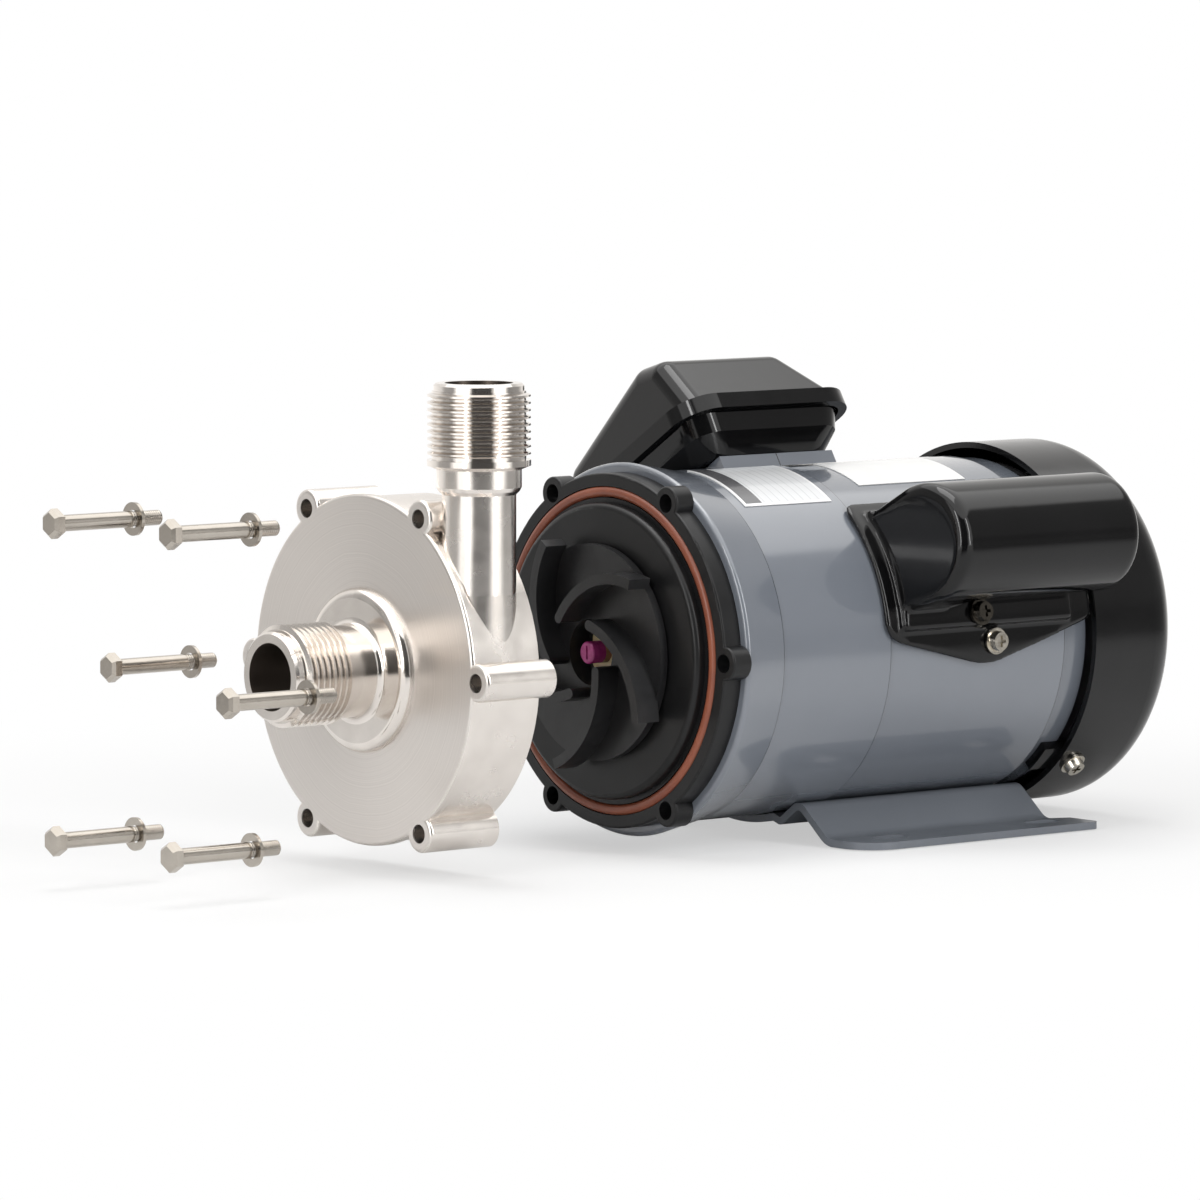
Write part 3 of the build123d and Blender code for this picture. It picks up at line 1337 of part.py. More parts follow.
with BuildPart() as terminal_base:
    add(tray(0, saddle_radius))
    add(tray(BOX_WALL, saddle_radius + BOX_WALL), mode=Mode.SUBTRACT)
    with BuildSketch(box_plane.offset(BOX_BASE_SINK)):
        with Locations(*post_places):
            Circle(BOX_POST_RADIUS)
    extrude(amount=base_top - BOX_BASE_SINK)
    with BuildSketch(gland_plane(gland_face)):
        Circle(GLAND_BOSS_RADIUS)
    extrude(amount=-(BOX_BASE_TAPER + BOX_WALL))
    revolve(
        tube(bracket_front, shield_back, 0, saddle_radius), axis=SHAFT_AXIS, mode=Mode.SUBTRACT
    )
    with BuildSketch(box_plane.offset(base_top)):
        with Locations(*post_places):
            Circle(SCREW_RADIUS + FIT_GAP)
    extrude(amount=-BOX_SCREW_DEPTH, mode=Mode.SUBTRACT)
    with BuildSketch(gland_plane(gland_face)):
        Circle(GLAND_THREAD_RADIUS + FIT_GAP)
    extrude(amount=-(BOX_BASE_TAPER + GLAND_TAIL + FIT_GAP), mode=Mode.SUBTRACT)
terminal_base.part.label = "terminal_base"
export_step(terminal_base.part, "parts/terminal_base.step")

# Terminal box gasket: a flat rubber frame between base and cover.
with BuildPart() as terminal_gasket:
    with BuildSketch(box_plane.offset(base_top)):
        RectangleRounded(base_length, base_width, BOX_CORNER)
        RectangleRounded(
            base_length - 2 * BOX_WALL,
            base_width - 2 * BOX_WALL,
            BOX_CORNER - BOX_WALL,
            mode=Mode.SUBTRACT,
        )
    extrude(amount=BOX_GASKET_THICKNESS - FIT_GAP)
terminal_gasket.part.label = "terminal_gasket"
export_step(terminal_gasket.part, "parts/terminal_gasket.step")

# Terminal box cover: a roof that peaks on the viewer's side, over a skirted rim.
BOX_SIDE = Plane(origin=box_plane.origin, x_dir=box_plane.y_dir, z_dir=(1, 0, 0))
BOX_FRONT = Plane(origin=box_plane.origin, x_dir=(1, 0, 0), z_dir=-box_plane.y_dir)
roof_half_width = BOX_RIM_WIDTH / 2 - BOX_RIM_OVERHANG
roof_half_length = BOX_RIM_LENGTH / 2 - BOX_RIM_OVERHANG


def roof(inset, bottom):
    """Solid under the roof, inset by a wall."""
    with BuildPart() as solid:
        with BuildSketch(BOX_SIDE):
            with BuildLine():
                Polyline(
                    (-roof_half_width + inset, bottom),
                    (ROOF_NEAR[0] + inset / 2, ROOF_NEAR[1] - inset),
                    (ROOF_RIDGE[0], ROOF_RIDGE[1] - inset),
                    (ROOF_FAR[0] - inset / 2, ROOF_FAR[1] - inset),
                    (roof_half_width - inset, bottom),
                    close=True,
                )
            make_face()
        extrude(amount=roof_half_length, both=True)
        with BuildSketch(BOX_FRONT):
            with BuildLine():
                Polyline(
                    (-roof_half_length + inset, bottom),
                    (-roof_half_length + ROOF_FRONT_LEAN + inset, ROOF_RIDGE[1]),
                    (roof_half_length - ROOF_BACK_LEAN - inset, ROOF_RIDGE[1]),
                    (roof_half_length - inset, bottom),
                    close=True,
                )
            make_face()
        extrude(amount=roof_half_width, both=True, mode=Mode.INTERSECT)
        rounded = [
            edge
            for edge in solid.edges()
            if box_plane.to_local_coords(edge.center()).Z > bottom + 1
        ]
        fillet(rounded, radius=ROOF_ROUND - inset)
    return solid.part


with BuildPart() as cover_cavity:
    add(roof(BOX_WALL, rim_bottom))
    with BuildSketch(box_plane.offset(rim_pocket + PAINT_GAP)):
        with Locations(*post_places):
            Circle(BOX_POST_RADIUS)
    extrude(amount=ROOF_RIDGE[1] - rim_pocket, mode=Mode.SUBTRACT)
    with BuildSketch(box_plane.offset(BOX_SCREW_SEAT - BOX_WALL)):
        with Locations(*post_places):
            Circle(SCREW_WASHER_RADIUS + BOX_WALL)
    extrude(amount=ROOF_RIDGE[1] - BOX_SCREW_SEAT + BOX_WALL, mode=Mode.SUBTRACT)

with BuildPart() as terminal_cover:
    add(roof(0, rim_pocket))
    with BuildSketch(box_plane.offset(rim_bottom)):
        RectangleRounded(BOX_RIM_LENGTH, BOX_RIM_WIDTH, BOX_CORNER + BOX_RIM_OVERHANG)
    extrude(amount=BOX_RIM_HEIGHT)
    with BuildSketch(box_plane.offset(rim_bottom)):
        RectangleRounded(
            base_length + 2 * PAINT_GAP, base_width + 2 * PAINT_GAP, BOX_CORNER + PAINT_GAP
        )
    extrude(amount=BOX_RIM_HEIGHT - BOX_RIM_PLATE, mode=Mode.SUBTRACT)
    add(cover_cavity.part, mode=Mode.SUBTRACT)
    with BuildSketch(box_plane.offset(BOX_SCREW_SEAT)):
        with Locations(*post_places):
            Circle(SCREW_WASHER_RADIUS + PAINT_GAP)
    extrude(amount=ROOF_RIDGE[1] - BOX_SCREW_SEAT, mode=Mode.SUBTRACT)
    with BuildSketch(box_plane.offset(BOX_SCREW_SEAT)):
        with Locations(*post_places):
            Circle(SCREW_RADIUS + FIT_GAP)
    extrude(amount=-(BOX_SCREW_SEAT - rim_pocket), mode=Mode.SUBTRACT)
terminal_cover.part.label = "terminal_cover"
export_step(terminal_cover.part, "parts/terminal_cover.step")

with BuildPart() as terminal_cover_screws:
    for place in post_places:
        seat_plane = box_plane.offset(BOX_SCREW_SEAT + FIT_GAP)
        seat_plane.origin = seat_plane.from_local_coords((place[0], place[1], 0))
        add(pan_screw(seat_plane, BOX_SCREW_SEAT - base_top + BOX_SCREW_DEPTH - 1))
terminal_cover_screws.part.label = "terminal_cover_screws"
export_step(terminal_cover_screws.part, "parts/terminal_cover_screws.step")

# Terminal block: moulded strip on the tray's floor with four brass studs.
block_bottom = saddle_radius + BOX_WALL + PAINT_GAP
with BuildPart() as terminal_block:
    with BuildSketch(box_plane.offset(block_bottom)):
        Rectangle(BLOCK_LENGTH, BLOCK_WIDTH)
    extrude(amount=BLOCK_HEIGHT)
    with BuildSketch(box_plane.offset(block_bottom + BLOCK_HEIGHT)):
        with GridLocations(STUD_SPACING, 0, STUD_COUNT, 1):
            Circle(STUD_RADIUS + FIT_GAP)
    extrude(amount=-BLOCK_HEIGHT / 2, mode=Mode.SUBTRACT)
terminal_block.part.label = "terminal_block"
export_step(terminal_block.part, "parts/terminal_block.step")

with BuildPart() as terminal_studs:
    with BuildSketch(box_plane.offset(block_bottom + BLOCK_HEIGHT / 2 + FIT_GAP)):
        with GridLocations(STUD_SPACING, 0, STUD_COUNT, 1):
            Circle(STUD_RADIUS)
    extrude(amount=BLOCK_HEIGHT / 2 + STUD_HEIGHT)
terminal_studs.part.label = "terminal_studs"
export_step(terminal_studs.part, "parts/terminal_studs.step")

# Cable gland: threaded through the boss on the tray's far wall.
with BuildPart() as cable_gland:
    with BuildSketch(gland_plane(gland_face + FIT_GAP)):
        RegularPolygon(GLAND_FLATS / 2, 6, major_radius=False)
    extrude(amount=GLAND_HEX_LENGTH)
    with BuildSketch(gland_plane(gland_face + FIT_GAP + GLAND_HEX_LENGTH)):
        Circle(GLAND_DOME_RADIUS)
    extrude(amount=GLAND_DOME_LENGTH)
    fillet(
        cable_gland.faces().sort_by(Axis((0, 0, 0), box_plane.y_dir))[-1].edges(), radius=2.4
    )
    with BuildSketch(gland_plane(gland_face + FIT_GAP)):
        Circle(GLAND_THREAD_RADIUS)
    extrude(amount=-(BOX_BASE_TAPER + GLAND_TAIL))
    with BuildSketch(gland_plane(gland_face - BOX_BASE_TAPER - GLAND_TAIL)):
        Circle(GLAND_BORE)
    extrude(amount=BOX_RIM_WIDTH, mode=Mode.SUBTRACT)
cable_gland.part.label = "cable_gland"
export_step(cable_gland.part, "parts/cable_gland.step")

# Capacitor cover: a long hump on a screwed flange that wraps the motor's side.
hump_out = radial_plane(0, HUMP_RISE, 0)
HUMP_PROFILE = Plane(origin=hump_out.origin, x_dir=(1, 0, 0), z_dir=-hump_out.y_dir)
hump_front = JOINT_X + HUMP_FRONT
hump_back = hump_front + HUMP_LENGTH
flange_inner = FRONT_SHELL_RADIUS + PAINT_GAP
flange_outer = flange_inner + FLANGE_THICKNESS
plinth_radius = flange_outer + PLINTH_RISE - FLANGE_THICKNESS


def hump_section(x):
    """Plane square to the shaft whose y points out through the hump."""
    return Plane(origin=(x, 0, AXIS_HEIGHT), x_dir=hump_out.y_dir, z_dir=(1, 0, 0))


def rake(inset):
    """Wedge of air in front of the hump's leaning front face."""
    with BuildPart() as wedge:
        with BuildSketch(HUMP_PROFILE):
            with BuildLine():
                Polyline(
                    (hump_front - 2 * HUMP_RAKE, HUMP_CENTRE - 2 * HUMP_RADIUS),
                    (hump_front + inset - HUMP_RAKE / 2, HUMP_CENTRE - 2 * HUMP_RADIUS),
                    (hump_front + inset + HUMP_RAKE, HUMP_CENTRE + HUMP_RADIUS),
                    (hump_front - 2 * HUMP_RAKE, HUMP_CENTRE + HUMP_RADIUS),
                    close=True,
                )
            make_face()
        extrude(amount=2 * HUMP_RADIUS, both=True)
    return wedge.part


def flare(inset):
    """Foot of the hump's front, which narrows towards the rear."""
    with BuildPart() as solid:
        with BuildSketch(hump_out.offset(HUMP_CENTRE - 2 * HUMP_RADIUS)):
            with BuildLine():
                Polyline(
                    (hump_front - HUMP_RAKE, FLARE_HIGH_SIDE - inset),
                    (hump_front + FLARE_LENGTH, FLARE_END_HALF_WIDTH - inset),
                    (hump_front + FLARE_LENGTH, inset - FLARE_END_HALF_WIDTH),
                    (hump_front - HUMP_RAKE, inset - FLARE_HALF_WIDTH),
                    close=True,
                )
            make_face()
        extrude(amount=FLARE_TOP - inset - HUMP_CENTRE + 2 * HUMP_RADIUS)
        add(rake(inset), mode=Mode.SUBTRACT)
        front = solid.faces().filter_by(GeomType.PLANE).sort_by(Axis.X)[0]
        fillet(
            [edge for edge in front.edges() if abs(edge.tangent_at(0.5).dot(hump_out.z_dir)) > 0.9],
            radius=HUMP_ROUND - inset,
        )
    return solid.part


def hump(inset):
    """Round raked solid of the hump, inset by a wall and cut to the motor's side."""
    with BuildPart() as solid:
        with BuildSketch(hump_section(hump_front)):
            with Locations((0, HUMP_CENTRE)):
                Circle(HUMP_RADIUS - inset)
        extrude(amount=HUMP_LENGTH - inset)
        add(rake(inset), mode=Mode.SUBTRACT)
        fillet(
            [edge for edge in solid.edges() if edge.geom_type != GeomType.LINE],
            radius=HUMP_ROUND - inset,
        )
        add(flare(inset))
        revolve(
            tube(bracket_front, cover_back, 0, flange_inner),
            axis=SHAFT_AXIS,
            mode=Mode.SUBTRACT,
        )
    return solid.part


with BuildPart() as capacitor_cover:
    with BuildSketch(SECTION):
        with BuildLine():
            FilletPolyline(
                *[(JOINT_X + x, z) for x, z in FLANGE_OUTLINE], radius=FLANGE_CORNER, close=True
            )
        make_face()
    extrude(amount=HUMP_CENTRE)
    revolve(
        tube(bracket_front, cover_back, flange_inner, flange_outer),
        axis=SHAFT_AXIS,
        mode=Mode.INTERSECT,
    )
    revolve(
        sector(
            hump_front + PLINTH_INSET,
            hump_front + PLINTH_LENGTH,
            flange_inner,
            plinth_radius,
            PLINTH_HIGH_ANGLE,
        ),
        axis=SHAFT_AXIS,
        revolution_arc=PLINTH_HIGH_ANGLE - PLINTH_LOW_ANGLE,
    )
    add(hump(0))
    add(hump(HUMP_WALL), mode=Mode.SUBTRACT)
    for screw_x, screw_angle in (NEAR_SCREW, SHELF_SCREW):
        with BuildSketch(radial_plane(JOINT_X + screw_x, screw_angle, 0)):
            Circle(SCREW_RADIUS + FIT_GAP)
        extrude(amount=HUMP_CENTRE, mode=Mode.SUBTRACT)
capacitor_cover.part.label = "capacitor_cover"
export_step(capacitor_cover.part, "parts/capacitor_cover.step")

with BuildPart() as capacitor_cover_screws:
    for (screw_x, screw_angle), seat_radius in (
        (NEAR_SCREW, flange_outer),
        (SHELF_SCREW, plinth_radius),
    ):
        seat_plane = radial_plane(JOINT_X + screw_x, screw_angle, seat_radius + PAINT_GAP)
        add(pan_screw(seat_plane, seat_radius - REAR_SHELL_RADIUS))
capacitor_cover_screws.part.label = "capacitor_cover_screws"
export_step(capacitor_cover_screws.part, "parts/capacitor_cover_screws.step")

# Run capacitor: a sealed can lying under its cover.
with BuildPart() as capacitor:
    with BuildSketch(hump_section(JOINT_X + CAPACITOR_START)):
        with Locations((0, HUMP_CENTRE - CAPACITOR_DROP)):
            Circle(CAPACITOR_RADIUS)
    extrude(amount=CAPACITOR_LENGTH)
    chamfer(capacitor.edges().filter_by(GeomType.CIRCLE), length=1.0)
capacitor.part.label = "capacitor"
export_step(capacitor.part, "parts/capacitor.step")

# Labels: thin blank plates wrapped on the painted shells.
with BuildPart() as nameplate:
    revolve(
        sector(
            JOINT_X + NAMEPLATE[0],
            JOINT_X + NAMEPLATE[1],
            FRONT_SHELL_RADIUS + FIT_GAP,
            FRONT_SHELL_RADIUS + FIT_GAP + LABEL_THICKNESS,
            NAMEPLATE[3],
        ),
        axis=SHAFT_AXIS,
        revolution_arc=NAMEPLATE[3] - NAMEPLATE[2],
    )
nameplate.part.label = "nameplate"
export_step(nameplate.part, "parts/nameplate.step")

with BuildPart() as blank_label:
    revolve(
        sector(
            JOINT_X + BLANK_LABEL[0],
            JOINT_X + BLANK_LABEL[1],
            REAR_SHELL_RADIUS + FIT_GAP,
            REAR_SHELL_RADIUS + FIT_GAP + LABEL_THICKNESS,
            BLANK_LABEL[3],
        ),
        axis=SHAFT_AXIS,
        revolution_arc=BLANK_LABEL[3] - BLANK_LABEL[2],
    )
blank_label.part.label = "blank_label"
export_step(blank_label.part, "parts/blank_label.step")
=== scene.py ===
import bmesh
import bpy
from math import cos, pi, radians, sin
from mathutils import Matrix, Vector


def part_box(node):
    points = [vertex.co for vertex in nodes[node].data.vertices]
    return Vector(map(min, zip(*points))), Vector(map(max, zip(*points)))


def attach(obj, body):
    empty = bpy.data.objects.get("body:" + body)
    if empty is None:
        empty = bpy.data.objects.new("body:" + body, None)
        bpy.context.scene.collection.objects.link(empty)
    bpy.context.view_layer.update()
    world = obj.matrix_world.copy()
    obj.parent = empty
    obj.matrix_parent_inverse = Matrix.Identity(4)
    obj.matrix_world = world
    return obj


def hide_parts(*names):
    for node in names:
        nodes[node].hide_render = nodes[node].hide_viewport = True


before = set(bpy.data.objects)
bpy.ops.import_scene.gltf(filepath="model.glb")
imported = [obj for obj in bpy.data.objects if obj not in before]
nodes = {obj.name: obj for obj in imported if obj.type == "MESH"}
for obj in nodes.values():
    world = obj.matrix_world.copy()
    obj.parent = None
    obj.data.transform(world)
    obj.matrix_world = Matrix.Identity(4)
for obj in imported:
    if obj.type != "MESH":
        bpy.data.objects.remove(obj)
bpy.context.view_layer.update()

# Camera. A long lens some two and a half metres away, a little above the shaft
# and to the left of the pump's flank, with the picture's middle on the joint.
lens_mm = 237.63
camera_place = Vector((-1.7859, -2.0082, 0.3115))
camera_right = Vector((0.76940, -0.63877, 0.0))
camera_up = Vector((0.05567, 0.06706, 0.99619))
camera_data = bpy.data.cameras.new("camera")
camera_data.lens = lens_mm
camera_data.sensor_width = 36
camera_data.clip_end = 60
camera = bpy.data.objects.new("camera", camera_data)
bpy.context.scene.collection.objects.link(camera)
axes = Matrix((camera_right, camera_up, camera_right.cross(camera_up))).transposed()
camera.matrix_world = Matrix.Translation(camera_place) @ axes.to_4x4()
bpy.context.scene.camera = camera
bpy.context.scene.view_settings.view_transform = "Standard"

# Studio. A dark wall behind the camera stands between two tall white boxes, with
# brown grey flats at the sides, a white backdrop and a wide box overhead.
camera_side = Vector((-0.639, -0.769, 0.0))
wall_tones = (
    (-180, 1.0),
    (-116, 1.0),
    (-106, 0.55),
    (-92, 0.36),
    (-64, 0.34),
    (-19, 0.10),
    (-14, 0.045),
    (28, 0.045),
    (33, 0.12),
    (76, 0.24),
    (118, 0.34),
    (146, 1.0),
    (180, 1.0),
)
upper_tones = (
    (-180, 1.0),
    (-120, 1.0),
    (-104, 0.50),
    (-60, 0.40),
    (-14, 0.08),
    (30, 0.08),
    (62, 0.34),
    (100, 0.38),
    (132, 0.52),
    (150, 1.0),
    (180, 1.0),
)
ceiling_rise = (0.655, 0.70)


def shader_node(material, kind, **settings):
    """New shader node; lower-case names are its properties, others its sockets."""
    made = material.node_tree.nodes.new(kind)
    for name, value in settings.items():
        if name[0].islower():
            setattr(made, name, value)
        else:
            made.inputs[name.replace("_", " ")].default_value = value
    return made


def wire(material, source, target):
    """Joins an output to an input socket."""
    material.node_tree.links.new(source, target)


def calc(material, operation, *values):
    """Math node on numbers and sockets."""
    made = shader_node(material, "ShaderNodeMath", operation=operation)
    for slot, value in zip(made.inputs, values):
        if isinstance(value, (int, float)):
            slot.default_value = value
        else:
            wire(material, value, slot)
    return made.outputs[0]


def ease(material, value, low, high, first=0.0, last=1.0):
    """Smooth step of a value from one number to another."""
    step = shader_node(material, "ShaderNodeMapRange", interpolation_type="SMOOTHSTEP")
    for slot, number in (("From Min", low), ("From Max", high), ("To Min", first), ("To Max", last)):
        step.inputs[slot].default_value = number
    wire(material, value, step.inputs["Value"])
    return step.outputs[0]


def turn_of(material, direction):
    """Angle of a direction round the pump, from the camera's side to its right."""
    shares = []
    for aim in (camera_side, camera_right):
        share = shader_node(material, "ShaderNodeVectorMath", operation="DOT_PRODUCT")
        share.inputs[1].default_value = aim
        wire(material, direction, share.inputs[0])
        shares.append(share.outputs["Value"])
    return calc(material, "ARCTAN2", shares[1], shares[0])


def tone_round(material, turn, tones):
    """Tone read from a list of angles and tones."""
    ramp = shader_node(material, "ShaderNodeValToRGB")
    stops = ramp.color_ramp.elements
    while len(stops) < len(tones):
        stops.new(0.5)
    for stop, (angle, tone) in zip(stops, tones):
        stop.position = angle / 360 + 0.5
        stop.color = (tone, tone * 0.985, tone * 0.965, 1)
    wire(material, calc(material, "MULTIPLY_ADD", turn, 0.5 / pi, 0.5), ramp.inputs[0])
    return ramp.outputs[0]


room = bpy.data.worlds.new("white_room")
bpy.context.scene.world = room
room.use_nodes = True
room.node_tree.nodes.clear()
room_out = shader_node(room, "ShaderNodeOutputWorld")
room_seen = shader_node(room, "ShaderNodeBackground", Color=(1, 1, 1, 1), Strength=1.0)
room_fill = shader_node(room, "ShaderNodeBackground", Color=(1, 0.992, 0.98, 1), Strength=0.42)
room_gloss = shader_node(room, "ShaderNodeBackground", Strength=1.0)
room_where = shader_node(room, "ShaderNodeTexCoord").outputs["Generated"]
room_height = shader_node(room, "ShaderNodeSeparateXYZ")
wire(room, room_where, room_height.inputs[0])
room_turn = turn_of(room, room_where)
room_mix = shader_node(room, "ShaderNodeMix", data_type="RGBA")
wire(room, ease(room, room_height.outputs[2], 0.08, 0.20), room_mix.inputs[0])
wire(room, tone_round(room, room_turn, wall_tones), room_mix.inputs[6])
wire(room, tone_round(room, room_turn, upper_tones), room_mix.inputs[7])
ceiling_mix = shader_node(room, "ShaderNodeMix", data_type="RGBA")
wire(room, ease(room, room_height.outputs[2], *ceiling_rise), ceiling_mix.inputs[0])
wire(room, room_mix.outputs[2], ceiling_mix.inputs[6])
ceiling_mix.inputs[7].default_value = (2.0, 1.99, 1.97, 1)
wire(room, ceiling_mix.outputs[2], room_gloss.inputs["Color"])
room_ray = shader_node(room, "ShaderNodeLightPath")
gloss_mix = shader_node(room, "ShaderNodeMixShader")
camera_mix = shader_node(room, "ShaderNodeMixShader")
wire(room, room_ray.outputs["Is Glossy Ray"], gloss_mix.inputs[0])
wire(room, room_fill.outputs[0], gloss_mix.inputs[1])
wire(room, room_gloss.outputs[0], gloss_mix.inputs[2])
shown = calc(
    room, "MAXIMUM", room_ray.outputs["Is Camera Ray"], room_ray.outputs["Is Transmission Ray"]
)
wire(room, shown, camera_mix.inputs[0])
wire(room, gloss_mix.outputs[0], camera_mix.inputs[1])
wire(room, room_seen.outputs[0], camera_mix.inputs[2])
wire(room, camera_mix.outputs[0], room_out.inputs["Surface"])

lamp_target = Vector((-0.05, 0, 0.08))
soft_boxes = {
    "box_left": ((-2.12, -0.38, 0.86), (1.45, 1.8), 11.0),
    "box_right": ((0.40, -2.05, 0.86), (1.40, 1.8), 11.0),
    "strip_left": ((-1.88, -0.62, 0.80), (0.18, 1.5), 10.0),
    "strip_right": ((0.30, -1.86, 0.80), (0.18, 1.5), 10.0),
    "box_top": ((-0.1, 0.15, 2.2), (1.5, 1.3), 23.0),
}
for name, (lamp_place, (width, height), power) in soft_boxes.items():
    lamp_data = bpy.data.lights.new(name, "AREA")
    lamp_data.shape = "RECTANGLE"
    lamp_data.size = width
    lamp_data.size_y = height
    lamp_data.energy = power
    lamp = bpy.data.objects.new(name, lamp_data)
    bpy.context.scene.collection.objects.link(lamp)
    lamp.location = lamp_place
    lamp.rotation_euler = (lamp_target - Vector(lamp_place)).to_track_quat("-Z", "Y").to_euler()

# Floor. One sheet of white studio card that runs out of sight. It keeps the soft
# shadow under the pump, and further off it mirrors the walls and the boxes.
floor_half = 14.0
floor_tones = (
    (-180, 1.0),
    (-128, 1.0),
    (-104, 0.80),
    (-92, 0.42),
    (-64, 0.34),
    (-60, 1.0),
    (-21, 1.0),
    (-17, 0.05),
    (29, 0.05),
    (33, 1.0),
    (71, 1.0),
    (75, 0.24),
    (118, 0.34),
    (146, 1.0),
    (180, 1.0),
)


def empty_material(name):
    """Material with nothing but its output."""
    material = bpy.data.materials.new(name)
    material.use_nodes = True
    material.node_tree.nodes.clear()
    output = shader_node(material, "ShaderNodeOutputMaterial")
    return material, output


def place(material, centre=(0, 0, 0), turn=(0, 0, 0), size=(1, 1, 1)):
    """Object coordinates measured from a centre, turned and in units of a size."""
    where = shader_node(material, "ShaderNodeTexCoord")
    mapping = shader_node(
        material,
        "ShaderNodeMapping",
        vector_type="TEXTURE",
        Location=centre,
        Rotation=turn,
        Scale=size,
    )
    wire(material, where.outputs["Object"], mapping.inputs["Vector"])
    return mapping.outputs["Vector"]


def mesh_piece(name, mesh_maker, smooth_angle=35):
    """Object from a finished bmesh, shaded smooth up to an angle."""
    mesh = bpy.data.meshes.new(name)
    mesh_maker.to_mesh(mesh)
    mesh_maker.free()
    piece = bpy.data.objects.new(name, mesh)
    bpy.context.scene.collection.objects.link(piece)
    mesh.shade_smooth()
    mesh.set_sharp_from_angle(angle=radians(smooth_angle))
    return piece


card = bmesh.new()
bmesh.ops.create_grid(card, x_segments=1, y_segments=1, size=floor_half)
bmesh.ops.translate(card, verts=card.verts, vec=(0, 0, -0.0004))
floor = mesh_piece("floor", card)
card_white, card_out = empty_material("card_white")
card_paper = shader_node(card_white, "ShaderNodeBsdfDiffuse", Color=(0.86, 0.86, 0.86, 1))
card_glow = shader_node(card_white, "ShaderNodeEmission", Color=(1, 1, 1, 1), Strength=1.0)
card_wall = shader_node(card_white, "ShaderNodeEmission", Strength=1.15)
card_ray = shader_node(card_white, "ShaderNodeLightPath")
card_where = place(card_white, (-0.05, 0, 0))
reach = shader_node(card_white, "ShaderNodeVectorMath", operation="LENGTH")
wire(card_white, card_where, reach.inputs[0])
wire(
    card_white,
    tone_round(card_white, turn_of(card_white, card_where), floor_tones),
    card_wall.inputs["Color"],
)
seen = calc(
    card_white, "MAXIMUM", card_ray.outputs["Is Camera Ray"], card_ray.outputs["Is Transmission Ray"]
)
near_fade = ease(card_white, reach.outputs["Value"], 0.14, 0.46, 0.52, 1.0)
far_fade = ease(card_white, reach.outputs["Value"], 0.30, 0.95)
card_mix = shader_node(card_white, "ShaderNodeMixShader")
card_shine = shader_node(card_white, "ShaderNodeMixShader")
wire(card_white, calc(card_white, "MULTIPLY", seen, near_fade), card_mix.inputs[0])
wire(card_white, card_paper.outputs[0], card_mix.inputs[1])
wire(card_white, card_glow.outputs[0], card_mix.inputs[2])
wire(
    card_white,
    calc(card_white, "MULTIPLY", card_ray.outputs["Is Glossy Ray"], far_fade),
    card_shine.inputs[0],
)
wire(card_white, card_mix.outputs[0], card_shine.inputs[1])
wire(card_white, card_wall.outputs[0], card_shine.inputs[2])
wire(card_white, card_shine.outputs[0], card_out.inputs["Surface"])
floor.data.materials.append(card_white)

# Front casing. A stainless investment casting with six long ears; its face is
# turned in a lathe, the ports are threaded and polished, the rest is blasted.
axis_place = (0, 0, 0.066)
casing_face_x = -0.2185
collar_front_x = -0.2192
port_bore = 0.0110
outlet_place = (-0.2044, -0.0428, 0.0)
outlet_reach = 0.0178
outlet_foot_z = 0.093
outlet_thread_z = 0.1338


def surface(name, colour, **sockets):
    """Material with a Principled shader; returns both."""
    material, output = empty_material(name)
    shader = shader_node(material, "ShaderNodeBsdfPrincipled", **sockets)
    shader.inputs["Base Color"].default_value = (*colour, 1)
    wire(material, shader.outputs[0], output.inputs["Surface"])
    return material, shader


def cloud(material, where, scale, low, high, detail=3.0):
    """Noise that runs from a low to a high value."""
    noise = shader_node(material, "ShaderNodeTexNoise", Scale=scale, Detail=detail)
    wire(material, where, noise.inputs["Vector"])
    span = shader_node(material, "ShaderNodeMapRange")
    for slot, value in (("From Min", 0.32), ("From Max", 0.68), ("To Min", low), ("To Max", high)):
        span.inputs[slot].default_value = value
    wire(material, noise.outputs[0], span.inputs["Value"])
    return span.outputs[0]


def choose(material, amount, first, second, kind="FLOAT"):
    """First value where the amount is 0, second where it is 1."""
    mix = shader_node(material, "ShaderNodeMix", data_type=kind)
    wire(material, amount, mix.inputs[0])
    start, output = {"FLOAT": (2, 0), "VECTOR": (4, 1), "RGBA": (6, 2)}[kind]
    for slot, value in ((start, first), (start + 1, second)):
        if isinstance(value, tuple):
            mix.inputs[slot].default_value = (*value, 1)
        elif isinstance(value, (int, float)):
            mix.inputs[slot].default_value = value
        else:
            wire(material, value, mix.inputs[slot])
    return mix.outputs[output]


def tint(material, shader, amount, first, second):
    """Base colour that mixes two colours by an amount."""
    wire(material, choose(material, amount, first, second, "RGBA"), shader.inputs["Base Color"])


def relief(material, shader, height, depth, strength=1.0):
    """Bump of a real depth in metres."""
    bump = shader_node(material, "ShaderNodeBump", Distance=depth, Strength=strength)
    wire(material, height, bump.inputs["Height"])
    wire(material, bump.outputs[0], shader.inputs["Normal"])


def axes_of(material, where):
    """X, Y and Z of a vector, and its distance from the X axis."""
    split = shader_node(material, "ShaderNodeSeparateXYZ")
    wire(material, where, split.inputs[0])
    x, y, z = split.outputs
    radius = calc(
        material,
        "SQRT",
        calc(material, "ADD", calc(material, "MULTIPLY", y, y), calc(material, "MULTIPLY", z, z)),
    )
    return x, y, z, radius


def round_lines(material, where, axis):
    """Direction of the tool marks left by turning about an axis."""
    cross = shader_node(material, "ShaderNodeVectorMath", operation="CROSS_PRODUCT")
    wire(material, where, cross.inputs[0])
    cross.inputs[1].default_value = axis
    return cross.outputs[0]


def dress(material, *names):
    """Gives one material to nodes of the frame."""
    for name in names:
        nodes[name].data.materials.clear()
        nodes[name].data.materials.append(material)


